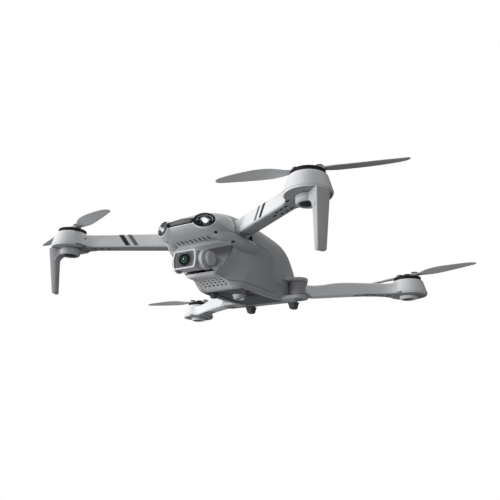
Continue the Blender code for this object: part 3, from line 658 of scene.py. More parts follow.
def screw_head(name, point, direction, body, radius=1.05):
    """Small cross-head screw at the bottom of its hole."""
    depth, turn = 1.9, facing(direction)
    profile = [(0.0, -depth - 0.8), (radius, -depth - 0.8), (radius, -depth + 0.3), (0.0, -depth + 0.55)]
    head = draft(name, spun(rounded(profile, 0.2), point, turn, 20))
    cut(head, *[moved(block((-0.62, -0.14, -depth + 0.1), (0.62, 0.14, -depth + 2.0)), point,
                      turn @ Matrix.Rotation(angle, 4, "Z")) for angle in (0.0, pi / 2.0)])
    place(head, "screw", body)


def surface_groove(tool):
    """Cutter for a shallow groove: what tool holds of the hull's outermost skin."""
    return cut(draft("groove", tool), hull("cut_inset", 0.45))


def surface_tree(*parts):
    """Search tree of the parts' joined surface, to lay trim on it; the parts are used up."""
    outer = join(*parts)
    tree = BVHTree.FromObject(outer, bpy.context.evaluated_depsgraph_get())
    bpy.data.objects.remove(outer, do_unlink=True)
    return tree


def hull_point(tree, start, direction):
    hit = tree.ray_cast(Vector(start) * MM, Vector(direction).normalized())
    return hit[0] / MM, hit[1]


def build_hull():
    inner = hull("cut_hull_inside", WALL, HULL[3:-1], 3, 4)
    cut(inner, sideways(grow(list(CAMERA_BAY), WALL), 40.0))
    battery_low, battery_high = box_mm("battery_pack")
    half = battery_high.x + GAP
    bay_low, bay_high = battery_low.z - GAP, battery_high.z + GAP

    def light_recess():
        band, bosses = light_bar_solid(GAP / 2.0, 12.0)
        return join(band, *bosses)

    def battery_bay():
        return block((-half, battery_low.y - 4.0, bay_low), (half, 70.0, bay_high))

    def region(gap, far):
        """Side view of one half's room, kept clear of the seam line by gap."""
        front = SEAM[0][0] + gap
        seam = [(y, z + gap) for y, z in SEAM[1:]]
        line = [(front, 90.0), (front, SEAM[0][1] + gap), *seam, (75.0, far)]
        return sideways(line if gap > 0.0 else line + [(-95.0, far), (-95.0, 90.0)], 50.0)

    upper = hull("upper_shell_skin")
    keep(upper, region(GAP / 2.0, 90.0))
    cut(upper, twin(inner))
    cut(upper, battery_bay(), rod(middle("power_button"), 4.9, -6.0, 12.0),
        *[upright(arm_sweep(side), SEAM_Z - 0.2, ARM_TOP) for _, side in SIDES])
    place(upper, "shell_upper", "airframe", "upper_shell")

    lower = hull("lower_shell_skin")
    keep(lower, region(-GAP / 2.0, -20.0))
    cut(lower, twin(inner), sideways(CAMERA_BAY, 45.0))
    for _, side in SIDES:
        seat = shoulder(side)
        cut(seat, block((-50.0, -90.0, SEAM_Z - 0.4), (50.0, 0.0, 60.0)), twin(inner))
        join(lower, seat, flange(side, 27.6, 44.4, 4.5, 7.4), flange(side, 23.2, 45.4, 18.7, 21.7))
    cut(lower, light_recess(), battery_bay())
    belly_low, belly_high = box_mm("belly_heat_plate")
    chin_low, chin_high = box_mm("chin_vent_cover")
    chin_slot = [(-11.0, -60.0), (11.0, -60.0), (11.6, -58.0), (11.6, -47.6), (-11.6, -47.6), (-11.6, -58.0)]
    tools = [block((belly_low.x - GAP, belly_low.y - GAP, -5.0),
                   (belly_high.x + GAP, belly_high.y + GAP, belly_high.z + 1.0)),
             block((chin_low.x - GAP, -70.0, -5.0),
                   (chin_high.x + GAP, chin_high.y + 0.4, chin_high.z + GAP)),
             upright(chin_slot, chin_high.z - 1.7, 13.9)]
    for _, side in SIDES:
        front, rear = (side * FRONT.pivot.x, FRONT.pivot.y, 0.0), (side * REAR.pivot.x, REAR.pivot.y, 0.0)
        tools += [rod(front, 2.5, 29.9, 40.0), rod(rear, 2.5, 2.0, 25.0),
                  rod(rear, 8.4, 7.55, 18.55, segments=48)]
    cut(lower, *tools)
    dress_lower_shell(lower)
    place(lower, "shell_grey", "airframe", "lower_shell")

    chin = hull("chin_vent_skin")
    cut(chin, twin(inner), sideways(CAMERA_BAY, 45.0))
    keep(chin, block((chin_low.x, -70.0, -5.0), (chin_high.x, chin_high.y, chin_high.z - 0.7)))
    cut(chin, merged([rod((CHIN_STEP_X * (i - 2.5), CHIN_Y + CHIN_STEP_Y * k, 0.0), 0.8, -2.0, 20.0,
                          segments=14) for i in range(6) for k in range(5)]))
    place(chin, "chin", "airframe", "chin_vent_cover")

    battery = hull("battery_skin")
    keep(battery, block(battery_low, (battery_high.x, 70.0, battery_high.z)))
    cut(battery, *battery_details())
    place(battery, "shell_light", "battery", "battery_pack")
    bpy.data.objects.remove(inner, do_unlink=True)


def dress_lower_shell(lower):
    """Nose slots, screw holes and the fine line along the lower flank."""
    slots = [SLOT_STEP * (i - 3.5) for i in range(8)]
    cut(lower, merged([block((x - SLOT_HALF, SLOT_FRONT, 30.0), (x + SLOT_HALF, SLOT_REAR, 34.4))
                       for x in slots]))
    outside = surface_tree(hull("probe"), *[shoulder(side) for _, side in SIDES])
    for name, side in SIDES:
        for tag, x, y, z in (("nose", 23.0, -65.3, 33.5), ("cheek", 29.6, -53.0, 28.8)):
            start, normal = hull_point(outside, (side * (x + 12.0), y - 2.0, z - 12.0),
                                       (-side * 12.0, 2.0, 12.0))
            cut(lower, screw_hole(start, normal))
            screw_head(f"{tag}_screw_{name}", start, normal, "airframe")
        line = [(-47.0, 7.2), (-20.0, 6.9), (4.0, 6.6), (14.0, 7.4), (17.0, 9.6), (17.4, 14.5)]
        line = smooth_curve(line, 6)
        outline = [(y, z + 0.22) for y, z in line] + [(y + 0.3, z - 0.22) for y, z in reversed(line)]
        tool = skin([[(side * x, y, z) for y, z in outline] for x in (14.0, 40.0)])
        cut(lower, surface_groove(tool))


def battery_details():
    """Side latch grooves and a finger recess at the rear of the battery."""
    latches = [merged([block((min(near, far), 38.0 + 2.2 * k, 20.0), (max(near, far), 39.0 + 2.2 * k, 32.0))
                       for k in range(4)]) for near, far in ((-15.9, -18.0), (15.9, 18.0))]
    recess = rounded([(0.0, -1.2), (5.0, -1.2), (6.0, 1.5), (0.0, 1.5)], 0.8)
    return [*latches, spun(recess, (0.0, 53.0, 44.5), Matrix.Rotation(radians(-62.0), 4, "X"), 40)]


def build_light_bar():
    """Black bar with ruled lines across its middle and an oval lamp boss at each end."""
    bar = hull("light_bar_skin", ring_steps=8)
    band, bosses = light_bar_solid(0.0, 0.65)
    keep(bar, band)
    low, high = light_band()
    lines = [block((-10.5, -90.0, low + 0.55 + 0.75 * k), (10.5, -70.0, low + 0.8 + 0.75 * k))
             for k in range(5)]
    lines = draft("cut_lines", merged(lines))
    cut(lines, hull("cut_inset", 0.3))
    cut(bar, lines)
    join(bar, *bosses)
    for name, side in SIDES:
        oval, centre = lamp_frame(side), lamp_centre(side)
        cut(bar, rod(centre, 4.1, -3.6, 12.0, oval, 80))
        ring = [(4.05, -3.4), (4.05, 0.2), (3.9, 0.4), (3.75, 0.2), (3.2, -1.4), (3.2, -3.4)]
        place(draft(f"lamp_bezel_{name}", spun_ring(ring, centre, oval)), "lamp_ring", "airframe")
        bowl = [(0.0, -3.3), (3.15, -3.3), (3.15, -1.3), (2.5, -2.3), (1.6, -2.7), (0.0, -2.8)]
        place(draft(f"lamp_bowl_{name}", spun(bowl, centre, oval)), "black_gloss", "airframe")
        bulb = [(0.0, -2.6), (0.95, -2.6), (0.95, -1.4), (0.8, -0.9), (0.5, -0.65), (0.0, -0.6)]
        place(draft(f"lamp_bulb_{name}", spun(bulb, centre, oval, 40)), "lamp", "airframe")
        dome = [(0.0, -0.45), (3.7, -0.45), (3.98, 0.5), (3.75, 1.1), (3.0, 1.8), (2.0, 2.3), (1.0, 2.55),
                (0.0, 2.6)]
        lens = draft(f"lamp_glass_{name}", spun(dome, centre, oval))
        place(lens, "lamp_glass", "airframe", f"headlight_lens_{name}")
        trim = [(5.0, -3.0), (5.0, 0.35), (5.2, 0.6), (5.5, 0.55), (5.6, 0.2), (5.6, -3.0)]
        trim = draft(f"lamp_trim_{name}", spun_ring(trim, centre, oval))
        cut(trim, block((-12.0, -90.0, low), (12.0, -60.0, high)))
        place(trim, "rim", "airframe")
    place(bar, "light_bar", "airframe", "nose_light_bar")
    light_rim()


def lamp_frame(side):
    """Turn of one lamp: outward by the lamp angle, stretched sideways into an oval."""
    return (Matrix.Rotation(side * radians(LIGHT_ANGLE), 4, "Z") @ Matrix.Rotation(pi / 2.0, 4, "X")
            @ Matrix.Diagonal((1.6, 1.0, 1.0, 1.0)))


def light_rim():
    """Raised bright rim along the upper and lower edges of the light bar's middle."""
    low, high = light_band()
    for name, z in (("low", low - 0.35), ("high", high + 0.35)):
        path = [hull_point(HULL_TREE, (-12.0 + i, -95.0, z), (0.0, 1.0, 0.0))[0] for i in range(25)]
        rings = [[(-12.0 + i, point.y + 0.42 * cos(a), z + 0.42 * sin(a)) for a in circle(12)]
                 for i, point in enumerate(path)]
        place(draft(f"light_bar_rim_{name}", skin(rings)), "rim", "airframe")


# Arms, pods and rotors ------------------------------------------------------

POD_HEIGHT = 12.4
POD_BASE = 15.3
POD_TOP = 11.6


class Arm:
    """Frame of one arm: s runs from the hinge to the rotor, w across, z up."""

    def __init__(self, label):
        self.label = label
        self.pivot = joint_axis_point(f"{label}_arm_fold_L")
        self.rotor = joint_axis_point(f"{label}_spin_L")
        self.low = box_mm(f"{label}_arm_cover_L")[0].z
        reach = self.rotor - self.pivot
        self.length = hypot(reach.x, reach.y)
        self.angle = atan2(reach.y, reach.x)

    def at(self, side, s, w, z=0.0):
        x = self.pivot.x + s * cos(self.angle) - w * sin(self.angle)
        y = self.pivot.y + s * sin(self.angle) + w * cos(self.angle)
        return (side * x, y, z)

    def centre(self, side):
        return (side * self.rotor.x, self.rotor.y, 0.0)

    def hinge(self, side):
        return (side * self.pivot.x, self.pivot.y, 0.0)


def bar_ring(arm, side, s, half_low, half_high, low, high):
    """Rounded section across the arm; its sides may lean in toward the top."""
    corner = 1.7
    ring = []
    for i, (half, edge) in enumerate(((half_high, high), (half_high, high), (half_low, low),
                                      (half_low, low))):
        w = half - corner if i in (0, 3) else corner - half
        z = edge - corner if i < 2 else edge + corner
        for step in range(0, 91, 15):
            a = radians(90.0 * i + step)
            ring.append(arm.at(side, s, w + corner * cos(a), z + corner * sin(a)))
    return ring


def cover_outline(arm, side, start, amount):
    """Plan of the underside cover: a strip that flares into the pod's disc."""
    length, root, half, last = arm.length, 4.2, 4.4, (-10.0, 11.45)
    radius = POD_BASE - 1.2
    edge = smooth_curve([(start, root * 0.55), (start + 1.6, root * 0.85), (start + 5.0, root),
                         (start + 9.0, half + 0.5), (length - 26.0, half), (length - 19.0, half + 0.7),
                         (length - 14.0, half + 2.6), (length - 11.6, half + 4.8),
                         (length + last[0], last[1])], 4)
    turn = atan2(last[1], last[0])
    disc = [turn - 2.0 * turn * i / 40 for i in range(1, 40)]
    outline = (edge + [(length + radius * cos(a), radius * sin(a)) for a in disc]
               + [(s, -w) for s, w in reversed(edge)])
    return grow([arm.at(side, s, w)[:2] for s, w in outline], amount)


def arm_vents(arm, side, places, low, high):
    """Oval holes in an arm's cover, as one cutter or as black plugs inside them that paint shade into the
    holes.
    """
    return merged([upright([arm.at(side, s + 2.15 * cos(a), w + 1.3 * sin(a))[:2] for a in circle(20)],
                           low, high) for s, w in places])


def build_arm(arm, name, side, look, stations, root_radius, root_low, root_high, cover_start, vents, screws):
    """Moulded arm with its pod, the underside cover, its vents and its screws."""
    label, low = arm.label, arm.low
    high = low + POD_HEIGHT
    body = f"{label}_arm_body_{name}"
    rings = [bar_ring(arm, side, *station) for station in smooth_curve(stations, 5)]
    shell = draft(f"{label}_arm_skin_{name}", skin(rings))
    barrel = rounded([(0.0, root_low), (root_radius, root_low), (root_radius, root_high), (0.0, root_high)],
                     0.7)
    pod = rounded([(0.0, low), (POD_BASE - 0.6, low), (POD_BASE - 0.6, low + 1.25), (POD_BASE, low + 1.45),
                   (POD_TOP + 0.7, high - 0.7), (POD_TOP - 0.2, high), (0.0, high)], 0.45)
    join(shell, spun(barrel, arm.hinge(side)), spun(pod, arm.centre(side), segments=96))
    outline = cover_outline(arm, side, cover_start, 0.0)
    cut(shell, upright(cover_outline(arm, side, cover_start, 0.25), low - 6.0, low + 1.55),
        rod(arm.centre(side), 10.7, low + 3.6, high + 5.0, segments=64),
        rod(arm.hinge(side), 2.5, root_low - 5.0, root_high + 5.0))
    cut(shell, arm_vents(arm, side, vents, low - 2.0, low + 7.0))
    place(shell, look, body, f"{label}_arm_{name}")
    cover = draft(f"{label}_cover_skin_{name}", upright(outline, low, low + 1.3, 0.25))
    spots = [arm.at(side, s, w, low) for s, w in screws]
    cut(cover, arm_vents(arm, side, vents, low - 2.0, low + 4.0),
        *[screw_hole(p, (0, 0, -1), 1.0, 0.9) for p in spots])
    place(cover, "cover_grey", body, f"{label}_arm_cover_{name}")
    # Black plugs inside the vent holes: painted shade in the holes
    mesh = draft(f"{label}_vent_shade_plug_{side}", arm_vents(arm, side, vents, low + 0.75, low + 1.1))
    place(mesh, "vent_shade_plug", body)
    for i, (x, y, z) in enumerate(spots):
        screw_head(f"{label}_cover_screw_{name}_{i}", (x, y, z - 0.9), (0, 0, -1), body, 0.9)


def build_motor(arm, name, side):
    """Outrunner bell with a slotted crown and its shaft."""
    low, high = arm.low + 3.9, arm.low + POD_HEIGHT
    profile = rounded([(0.0, low), (10.4, low), (10.4, high - 1.4), (9.5, high - 0.3), (1.0, high - 0.3),
                       (1.0, high + 1.8), (0.0, high + 1.8)], 0.35)
    bell = draft(f"{arm.label}_motor_bell_{name}", spun(profile, arm.centre(side)))
    slot = [(4.0, -1.1), (8.2, -1.7), (8.2, 1.7), (4.0, 1.1)]
    cut(bell, merged([moved(upright(slot, high - 2.0, high + 0.5), arm.centre(side),
                            Matrix.Rotation(a, 4, "Z")) for a in circle(9)]))
    node = f"{arm.label}_motor_{name}"
    place(bell, "metal", frame_body(node), node)


def frame_body(node):
    return frame["nodes"][node]["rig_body"]


def build_hub(arm, name, side):
    """Black rotor hub: grooved lower disc, domed centre boss and two headed pins with screws."""
    label = arm.label
    low = box_mm(f"{label}_prop_hub_{name}")[0].z
    profile = rounded([(0.0, low + 2.1), (1.3, low + 2.1), (1.3, low), (10.9, low), (10.9, low + 1.0),
                       (10.4, low + 1.2), (10.4, low + 1.5), (10.9, low + 1.7), (10.9, low + 2.6),
                       (3.3, low + 2.6), (3.3, low + 5.2), (2.6, low + 5.9), (0.0, low + 5.9)], 0.3)
    hub = draft(f"{label}_hub_skin_{name}", spun(profile, arm.centre(side), segments=80))
    node = f"{label}_prop_hub_{name}"
    body = frame_body(node)
    screws = [(*arm.centre(side)[:2], low + 5.9)]
    for tag in "ab":
        pivot = joint_axis_point(f"{label}_blade_fold_{name}_{tag}")
        head = [(0.0, low + 2.4), (1.5, low + 2.4), (1.5, low + 5.6), (2.8, low + 5.6), (2.8, low + 6.1),
                (2.4, low + 6.4), (0.0, low + 6.4)]
        join(hub, spun(rounded(head, 0.15), above(pivot), segments=32))
        screws.append((pivot.x, pivot.y, low + 6.4))
    cut(hub, *[screw_hole(p, (0, 0, 1), 1.2, 0.7) for p in screws])
    place(hub, "hub", body, node)
    for i, (x, y, z) in enumerate(screws):
        screw_head(f"{label}_hub_screw_{name}_{i}", (x, y, z + 1.2), (0, 0, 1), body, 1.0)


def build_blade(arm, name, side, tag):
    """Twisted blade with a swept edge, a soft section and an eye round its hinge."""
    label = arm.label
    pivot = joint_axis_point(f"{label}_blade_fold_{name}_{tag}")
    centre = Vector(arm.centre(side))
    direction = atan2(pivot.y - centre.y, pivot.x - centre.x)
    z = box_mm(f"{label}_prop_hub_{name}")[0].z + 4.1
    hand = side if label == "front" else -side
    radius = blade_reach(label, name, tag, centre)
    stations = ((7.6, 4.4, 0.0, 2.1, 0.0), (12.0, 5.6, 2.0, 1.9, 0.0), (17.0, 8.8, 6.0, 1.6, 0.3),
                (23.0, 11.0, 10.0, 1.35, 0.6), (32.0, 11.3, 10.5, 1.2, 0.7), (42.0, 9.8, 9.2, 1.1, 0.3),
                (51.0, 7.6, 8.0, 0.95, -0.3), (56.5, 5.6, 7.0, 0.85, -0.9),
                (radius - 1.0, 3.6, 6.2, 0.75, -1.4), (radius, 1.4, 6.0, 0.5, -1.6))
    rings = []
    for reach, chord, pitch, thick, sweep in smooth_curve(stations, 5):
        tilt = hand * radians(pitch)
        ring = []
        for a in circle(20):
            across = hand * (0.5 * chord * cos(a) + sweep)
            lift = 0.5 * thick * sin(a) * (1.0 - 0.35 * cos(a)) + 0.25 * thick * (1.0 - cos(a) ** 2)
            w = across * cos(tilt) - lift * sin(tilt)
            h = across * sin(tilt) + lift * cos(tilt)
            ring.append((centre.x + reach * cos(direction) - w * sin(direction),
                         centre.y + reach * sin(direction) + w * cos(direction), z + h))
        rings.append(ring)
    blade = draft(f"{label}_blade_skin_{name}_{tag}", skin(rings))
    eye = rounded([(0.0, -1.2), (3.3, -1.2), (3.3, 1.2), (0.0, 1.2)], 0.4)
    join(blade, spun(eye, (pivot.x, pivot.y, z)))
    cut(blade, rod((pivot.x, pivot.y, z), 1.8, -3.0, 3.0))
    node = f"{label}_blade_{name}_{tag}"
    place(blade, "blade", frame_body(node), node)


def blade_reach(label, name, tag, centre):
    low, high = box_mm(f"{label}_blade_{name}_{tag}")
    corners = [Vector((x, y)) for x in (low.x, high.x) for y in (low.y, high.y)]
    return min(59.7, max((corner - centre.xy).length for corner in corners))


def build_arms(arm, finish, *plan):
    """Both arms of one pair, with their motors, hubs and blades; finish adds what hangs under the pod."""
    for name, side in SIDES:
        build_arm(arm, name, side, *plan)
        build_motor(arm, name, side)
        build_hub(arm, name, side)
        for tag in "ab":
            build_blade(arm, name, side, tag)
        finish(arm, name, side)


def build_front_arms():
    reach = FRONT.length
    stations = ((1.0, 6.2, 6.2, 36.3, 46.9), (12.0, 6.5, 6.5, 36.3, 46.9), (40.0, 6.2, 6.2, 36.35, 46.6),
                (62.0, 6.0, 5.9, 36.4, 46.3), (69.0, 6.3, 5.9, 36.4, 46.3), (74.5, 7.7, 6.4, 36.4, 46.4),
                (78.0, 9.9, 7.3, 36.4, 46.7), (reach - 8.6, 12.2, 8.4, 36.4, 47.1))
    vents = [(51.0, 0.0), (57.0, 2.1), (57.0, -2.1), (62.6, 2.2), (62.6, -2.2), (68.3, 2.3), (68.3, -2.3),
             (76.2, -6.0), (76.2, 6.0)]
    screws = [(17.0, -1.0), (reach - 9.8, -2.6), (reach + 12.2, -2.4), (reach + 1.0, 12.4)]
    build_arms(FRONT, build_leg, "arm_painted", stations, 6.9, 36.1, 47.2, 5.5, vents, screws)


def leg_ring(arm, side, s, w, z, half_s, half_w):
    corner = 0.7
    ring = []
    for sx, sy, start in ((1, 1, 0), (-1, 1, 90), (-1, -1, 180), (1, -1, 270)):
        for a in [radians(start + step) for step in (0, 30, 60, 90)]:
            ring.append(arm.at(side, s + sx * (half_s - corner) + corner * cos(a),
                               w + sy * (half_w - corner) + corner * sin(a), z))
    return ring


def build_leg(arm, name, side):
    """Landing leg: hollow boss under the pod, a curved web and a flat-faced strut to the ground."""
    length = arm.length
    top = arm.low - 0.3
    floor = box_mm(f"front_leg_{name}")[0].z
    rings = []
    for z, inset in ((floor, 0.7), (floor + 0.25, 0.25), (floor + 0.8, 0.0), (12.0, 0.0), (24.0, 0.0),
                     (top, 0.0)):
        t = (z - floor) / (top - floor)
        rings.append(leg_ring(arm, side, length + 8.9 + 4.0 * t, 1.9 * (1 - t), z, 1.7 + 1.15 * t - inset,
                              3.2 + 1.65 * t - inset))
    leg = draft(f"front_leg_skin_{name}", skin(rings))
    boss = rounded([(0.0, 31.9), (5.4, 31.9), (5.5, 30.6), (6.9, 30.6), (7.7, 31.8), (7.8, top), (0.0, top)],
                   0.3)
    quarter = [radians(90 - 9 * i) for i in range(11)]
    arc = [(length + 4.2 + 5.3 * cos(a), 25.2 + 5.8 * sin(a)) for a in quarter]
    outline = arc + [(length + 12.4, 25.2), (length + 12.9, top), (length + 4.2, top)]
    web = skin([[arm.at(side, s, w, z) for s, z in outline] for w in (-4.1, 4.4)])
    join(leg, spun(boss, arm.centre(side)), web)
    body = frame_body(f"front_leg_{name}")
    place(leg, "leg", body, f"front_leg_{name}")
    lens = rounded([(0.0, 31.2), (2.0, 31.0), (5.1, 31.3), (5.1, 31.85), (0.0, 31.85)], 0.2)
    lens = draft(f"leg_lamp_lens_{name}", spun(lens, arm.centre(side)))
    cut(lens, merged([moved(block((-6.0, -4.4 + 1.6 * k, 30.0), (6.0, -3.7 + 1.6 * k, 31.45)),
                            arm.centre(side)) for k in range(6)]))
    place(lens, "black_gloss", body)


def build_rear_arms():
    reach = REAR.length
    end = reach - 8.6
    stations = ((1.0, 6.0, 6.0, 7.9, 15.3), (6.0, 6.1, 6.1, 7.9, 15.3), (9.2, 6.4, 6.4, 6.6, 15.3),
                (14.0, 6.5, 6.4, 6.4, 15.4), (20.0, 6.5, 6.4, 6.8, 16.1), (28.0, 6.5, 6.3, 7.4, 17.5),
                (36.0, 6.4, 6.2, 7.9, 18.2), (46.0, 6.2, 6.1, 8.5, 18.4), (end - 19.0, 6.0, 5.8, 9.3, 18.4),
                (end - 12.0, 6.3, 5.9, 9.4, 18.4), (end - 6.5, 7.7, 6.5, 9.4, 18.7),
                (end - 3.0, 9.9, 7.4, 9.4, 19.2), (end, 12.2, 8.4, 9.4, 19.8))
    vents = [(reach - 34.0 + 6.0 * k, w) for k in range(4) for w in (-2.2, 2.2)]
    screws = [(reach - 9.8, 2.4), (reach + 12.4, 1.0), (reach - 1.0, -12.4)]
    build_arms(REAR, build_rear_lamp, "arm_plain", stations, 7.4, 7.7, 18.4, 46.0, vents, screws)


def build_rear_lamp(arm, name, side):
    """Pale boss under a rear pod with a dark dotted lens in its end."""
    node = f"rear_lamp_{name}"
    low = box_mm(node)[0].z
    boss = rounded([(0.0, low + 0.7), (4.9, low + 0.7), (5.0, low), (6.2, low), (7.4, low + 2.4),
                    (7.4, low + 2.5), (0.0, low + 2.5)], 0.3)
    body = frame_body(node)
    place(draft(f"rear_boss_{name}", spun(boss, arm.centre(side))), "shell_light", body, node)
    lens = [(0.0, low + 0.1), (3.0, low + 0.15), (4.7, low + 0.4), (4.7, low + 0.72), (0.0, low + 0.72)]
    lens = draft(f"rear_lens_{name}", spun(lens, arm.centre(side)))
    x, y, _ = arm.centre(side)
    cut(lens, merged([rod((x + 3.0 * cos(a), y + 3.0 * sin(a), 0.0), 0.55, low - 1.0, low + 0.5, segments=12)
                      for a in circle(6)]))
    place(lens, "black_gloss", body, slot="foot_dark")


# Camera ---------------------------------------------------------------------

def camera_outline(half_x, half_z, bulge, corner=1.1):
    """Front view of the camera, as (x, z): level top and bottom, bowed flanks, small round corners."""
    z_mid = TILT.z
    flank = [(half_x + bulge * (1.0 - (k / 8.0) ** 2), z_mid + (half_z - corner) * k / 8.0)
             for k in range(-8, 9)]
    x_end = flank[-1][0]
    arc = [(x_end - corner + corner * cos(a), z_mid + half_z - corner + corner * sin(a))
           for a in [radians(15 * i) for i in range(1, 7)]]
    right = [(x, 2 * z_mid - z) for x, z in reversed(arc)] + flank + arc
    return right + [(-x, z) for x, z in reversed(right)]


def build_camera():
    forward = Matrix.Rotation(pi / 2.0, 4, "X")
    across = Matrix.Rotation(pi / 2.0, 4, "Y")
    low, high = box_mm("camera_bezel")
    half_x, half_z = high.x - 0.8, (high.z - low.z) / 2.0 - 0.3
    shell_low, shell_high = box_mm("camera_housing")
    outline = camera_outline(half_x - 0.6, half_z - 0.7, 0.6)
    housing = draft("camera_housing_skin", frontal(outline, shell_high.y - 2.6, shell_low.y, 1.2))
    cut(housing, frontal(camera_outline(half_x - 2.0, half_z - 1.3, 0.4), -75.0, -68.2),
        *[rod((side * half_x, TILT.y, TILT.z), 2.4, -2.6, 2.6, across) for _, side in SIDES])
    place(housing, "camera_shell", "camera", "camera_housing")
    outline = camera_outline(half_x, half_z + 0.3, 0.8, 1.4)
    bezel = draft("camera_bezel_skin", frontal(outline, low.y, high.y, 0.45))
    cut(bezel, frontal(camera_outline(half_x - 0.95, half_z - 0.6, 0.8, 1.2), -80.0, -60.0))
    place(bezel, "rim", "camera", "camera_bezel")
    low, high = box_mm("camera_face_plate")
    outline = camera_outline(half_x - 1.25, half_z - 0.9, 0.75)
    face = draft("camera_face_skin", frontal(outline, low.y, high.y, 0.2))
    rings = [spun_ring([(r, 6.9), (r + 0.35, 6.9), (r + 0.35, 8.5), (r, 8.5)], TILT, forward)
             for r in (5.6, 6.7)]
    cut(face, rod(TILT, 4.6, 3.0, 12.0, forward, 48), *rings)
    place(face, "face_grey", "camera", "camera_face_plate")
    barrel = rounded([(0.0, 5.0), (4.3, 5.0), (4.3, 8.6), (4.0, 8.9), (3.7, 8.9), (3.45, 8.2), (3.3, 8.2),
                      (3.1, 7.1), (0.0, 7.1)], 0.12)
    place(draft("camera_barrel_skin", spun(barrel, TILT, forward)), "black_gloss", "camera",
          "camera_lens_barrel")
    dome = [(0.0, 7.3), (3.0, 7.3), (3.0, 7.8), (2.6, 8.15), (2.0, 8.42), (1.2, 8.62), (0.5, 8.7),
            (0.0, 8.72)]
    place(draft("camera_glass_skin", spun(dome, TILT, forward)), "glass", "camera", "camera_lens_glass")
    build_bracket(across)


def build_bracket(across):
    """Yoke with two stepped cheeks, and the round cover of the tilt drive."""
    high = box_mm("camera_bracket")[1]
    bracket = draft("camera_bracket_skin", block((-high.x, high.y - 1.5, 14.2), (high.x, high.y, 21.0)))
    parts = []
    for _, side in SIDES:
        cheek = rounded([(0.0, 10.9), (6.6, 10.9), (7.0, 11.3), (7.0, 12.1), (6.5, 12.6), (0.0, 12.6)], 0.25)
        turn = across if side > 0 else Matrix.Rotation(-pi / 2.0, 4, "Y")
        parts.append(spun(cheek, TILT, turn))
        x0, x1 = sorted((side * 11.1, side * 12.4))
        parts.append(block((x0, TILT.y, 14.4), (x1, high.y - 0.2, 20.8)))
        x0, x1 = sorted((side * 8.2, side * 11.6))
        parts.append(rod((0.0, TILT.y, TILT.z), 2.0, x0, x1, across))
    join(bracket, *parts)
    place(bracket, "camera_shell", "airframe", "camera_bracket")
    cover = rounded([(0.0, 12.9), (7.4, 12.9), (7.4, 14.9), (6.9, 15.5), (5.6, 15.5), (5.4, 15.2),
                     (5.2, 15.5), (5.2, 18.3), (4.6, 19.0), (0.0, 19.0)], 0.25)
    place(draft("tilt_cover_skin", spun(cover, TILT, across)), "camera_shell", "airframe", "tilt_motor_cover")


# Belly, feet, button and inner parts ----------------------------------------

def build_belly():
    low, high = box_mm("belly_heat_plate")
    plate = draft("belly_plate_skin", block(low, high))
    slots, holes = [], []
    for k in range(30):
        y = low.y + 14.0 + 1.6 * k
        if y < high.y - 1.5:
            for x0, x1 in ((low.x + 1.5, -1.0), (1.0, high.x - 1.5)):
                slots.append(block((x0, y, low.z - 1.0), (x1, y + 0.8, low.z + 0.9)))
    for i in range(12):
        for k in range(6):
            x, y = low.x + 2.0 + 2.9 * i, low.y + 1.8 + 1.9 * k
            if abs(x) > 5.4 or y > -18.0 or y < -24.0:
                holes.append(rod((x, y, 0.0), 0.5, low.z - 1.0, low.z + 0.9, segments=8))
    cut(plate, merged(slots), merged(holes))
    place(plate, "belly", "airframe", "belly_heat_plate")
    centre = middle("belly_sensor_lens")
    low, high = box_mm("belly_sensor_lens")
    barrel = rounded([(0.0, low.z + 0.7), (2.9, low.z + 0.7), (3.1, low.z), (4.3, low.z), (4.7, low.z + 0.4),
                      (4.7, high.z - 1.0), (5.6, high.z - 0.8), (5.6, high.z), (0.0, high.z)], 0.15)
    place(draft("belly_sensor_skin", spun(barrel, above(centre))), "shell_light", "airframe",
          "belly_sensor_lens")
    eye = [(0.0, low.z + 0.25), (1.4, low.z + 0.3), (2.5, low.z + 0.5), (2.8, low.z + 0.69),
           (0.0, low.z + 0.69)]
    place(draft("belly_sensor_eye", spun(eye, above(centre))), "black_gloss", "airframe")
    for name, _ in SIDES:
        build_foot(f"foot_front_{name}")
        build_foot(f"foot_rear_{name}")


def build_foot(node):
    """Tapered rubber foot with rounded corners and a domed sole."""
    low, high = box_mm(node)
    centre = (low + high) / 2.0
    lean = -1.0 if centre.y > 20.0 else 0.6
    spread = 1.25 if centre.y > 20.0 else 1.1
    top_x, top_y = spread * (high.x - low.x) / 2.0, spread * (high.y - low.y) / 2.0
    rings = []
    for t, share in ((0.0, 0.50), (0.04, 0.62), (0.12, 0.68), (0.5, 0.80), (0.85, 0.93), (1.0, 1.0)):
        hx, hy = top_x * share, top_y * share
        cy = centre.y - lean * (1.0 - t) * (1.0 - share)
        ring = []
        for a in circle(32):
            x = hx * abs(cos(a)) ** 0.45 * (1 if cos(a) >= 0 else -1)
            y = hy * abs(sin(a)) ** 0.45 * (1 if sin(a) >= 0 else -1)
            ring.append((centre.x + x, cy + y, low.z + t * (high.z - low.z)))
        rings.append(ring)
    place(draft(f"{node}_skin", skin(rings)), "foot", "airframe", node)


def build_button():
    low, high = box_mm("power_button")
    centre = middle("power_button")
    profile = rounded([(0.0, low.z), (5.8, low.z), (5.8, low.z + 1.2), (4.5, low.z + 1.2),
                       (4.5, high.z - 0.1), (3.9, high.z), (2.6, high.z), (2.2, high.z - 0.5),
                       (0.0, high.z - 0.35)], 0.2)
    place(draft("power_button_skin", spun(profile, above(centre))), "face_grey", "button", "power_button")
    for k in range(4):
        a = radians(45 + 30 * k)
        over = (centre.x + 8.2 * cos(a), centre.y - 8.2 * sin(a), 90.0)
        spot, _ = hull_point(HULL_TREE, over, (0.0, 0.0, -1.0))
        dot = spun(rounded([(0.0, -0.6), (0.7, -0.6), (0.7, 0.05), (0.0, 0.15)], 0.15), spot, segments=16)
        place(draft(f"charge_light_{k}", dot), "lamp_dim", "airframe")


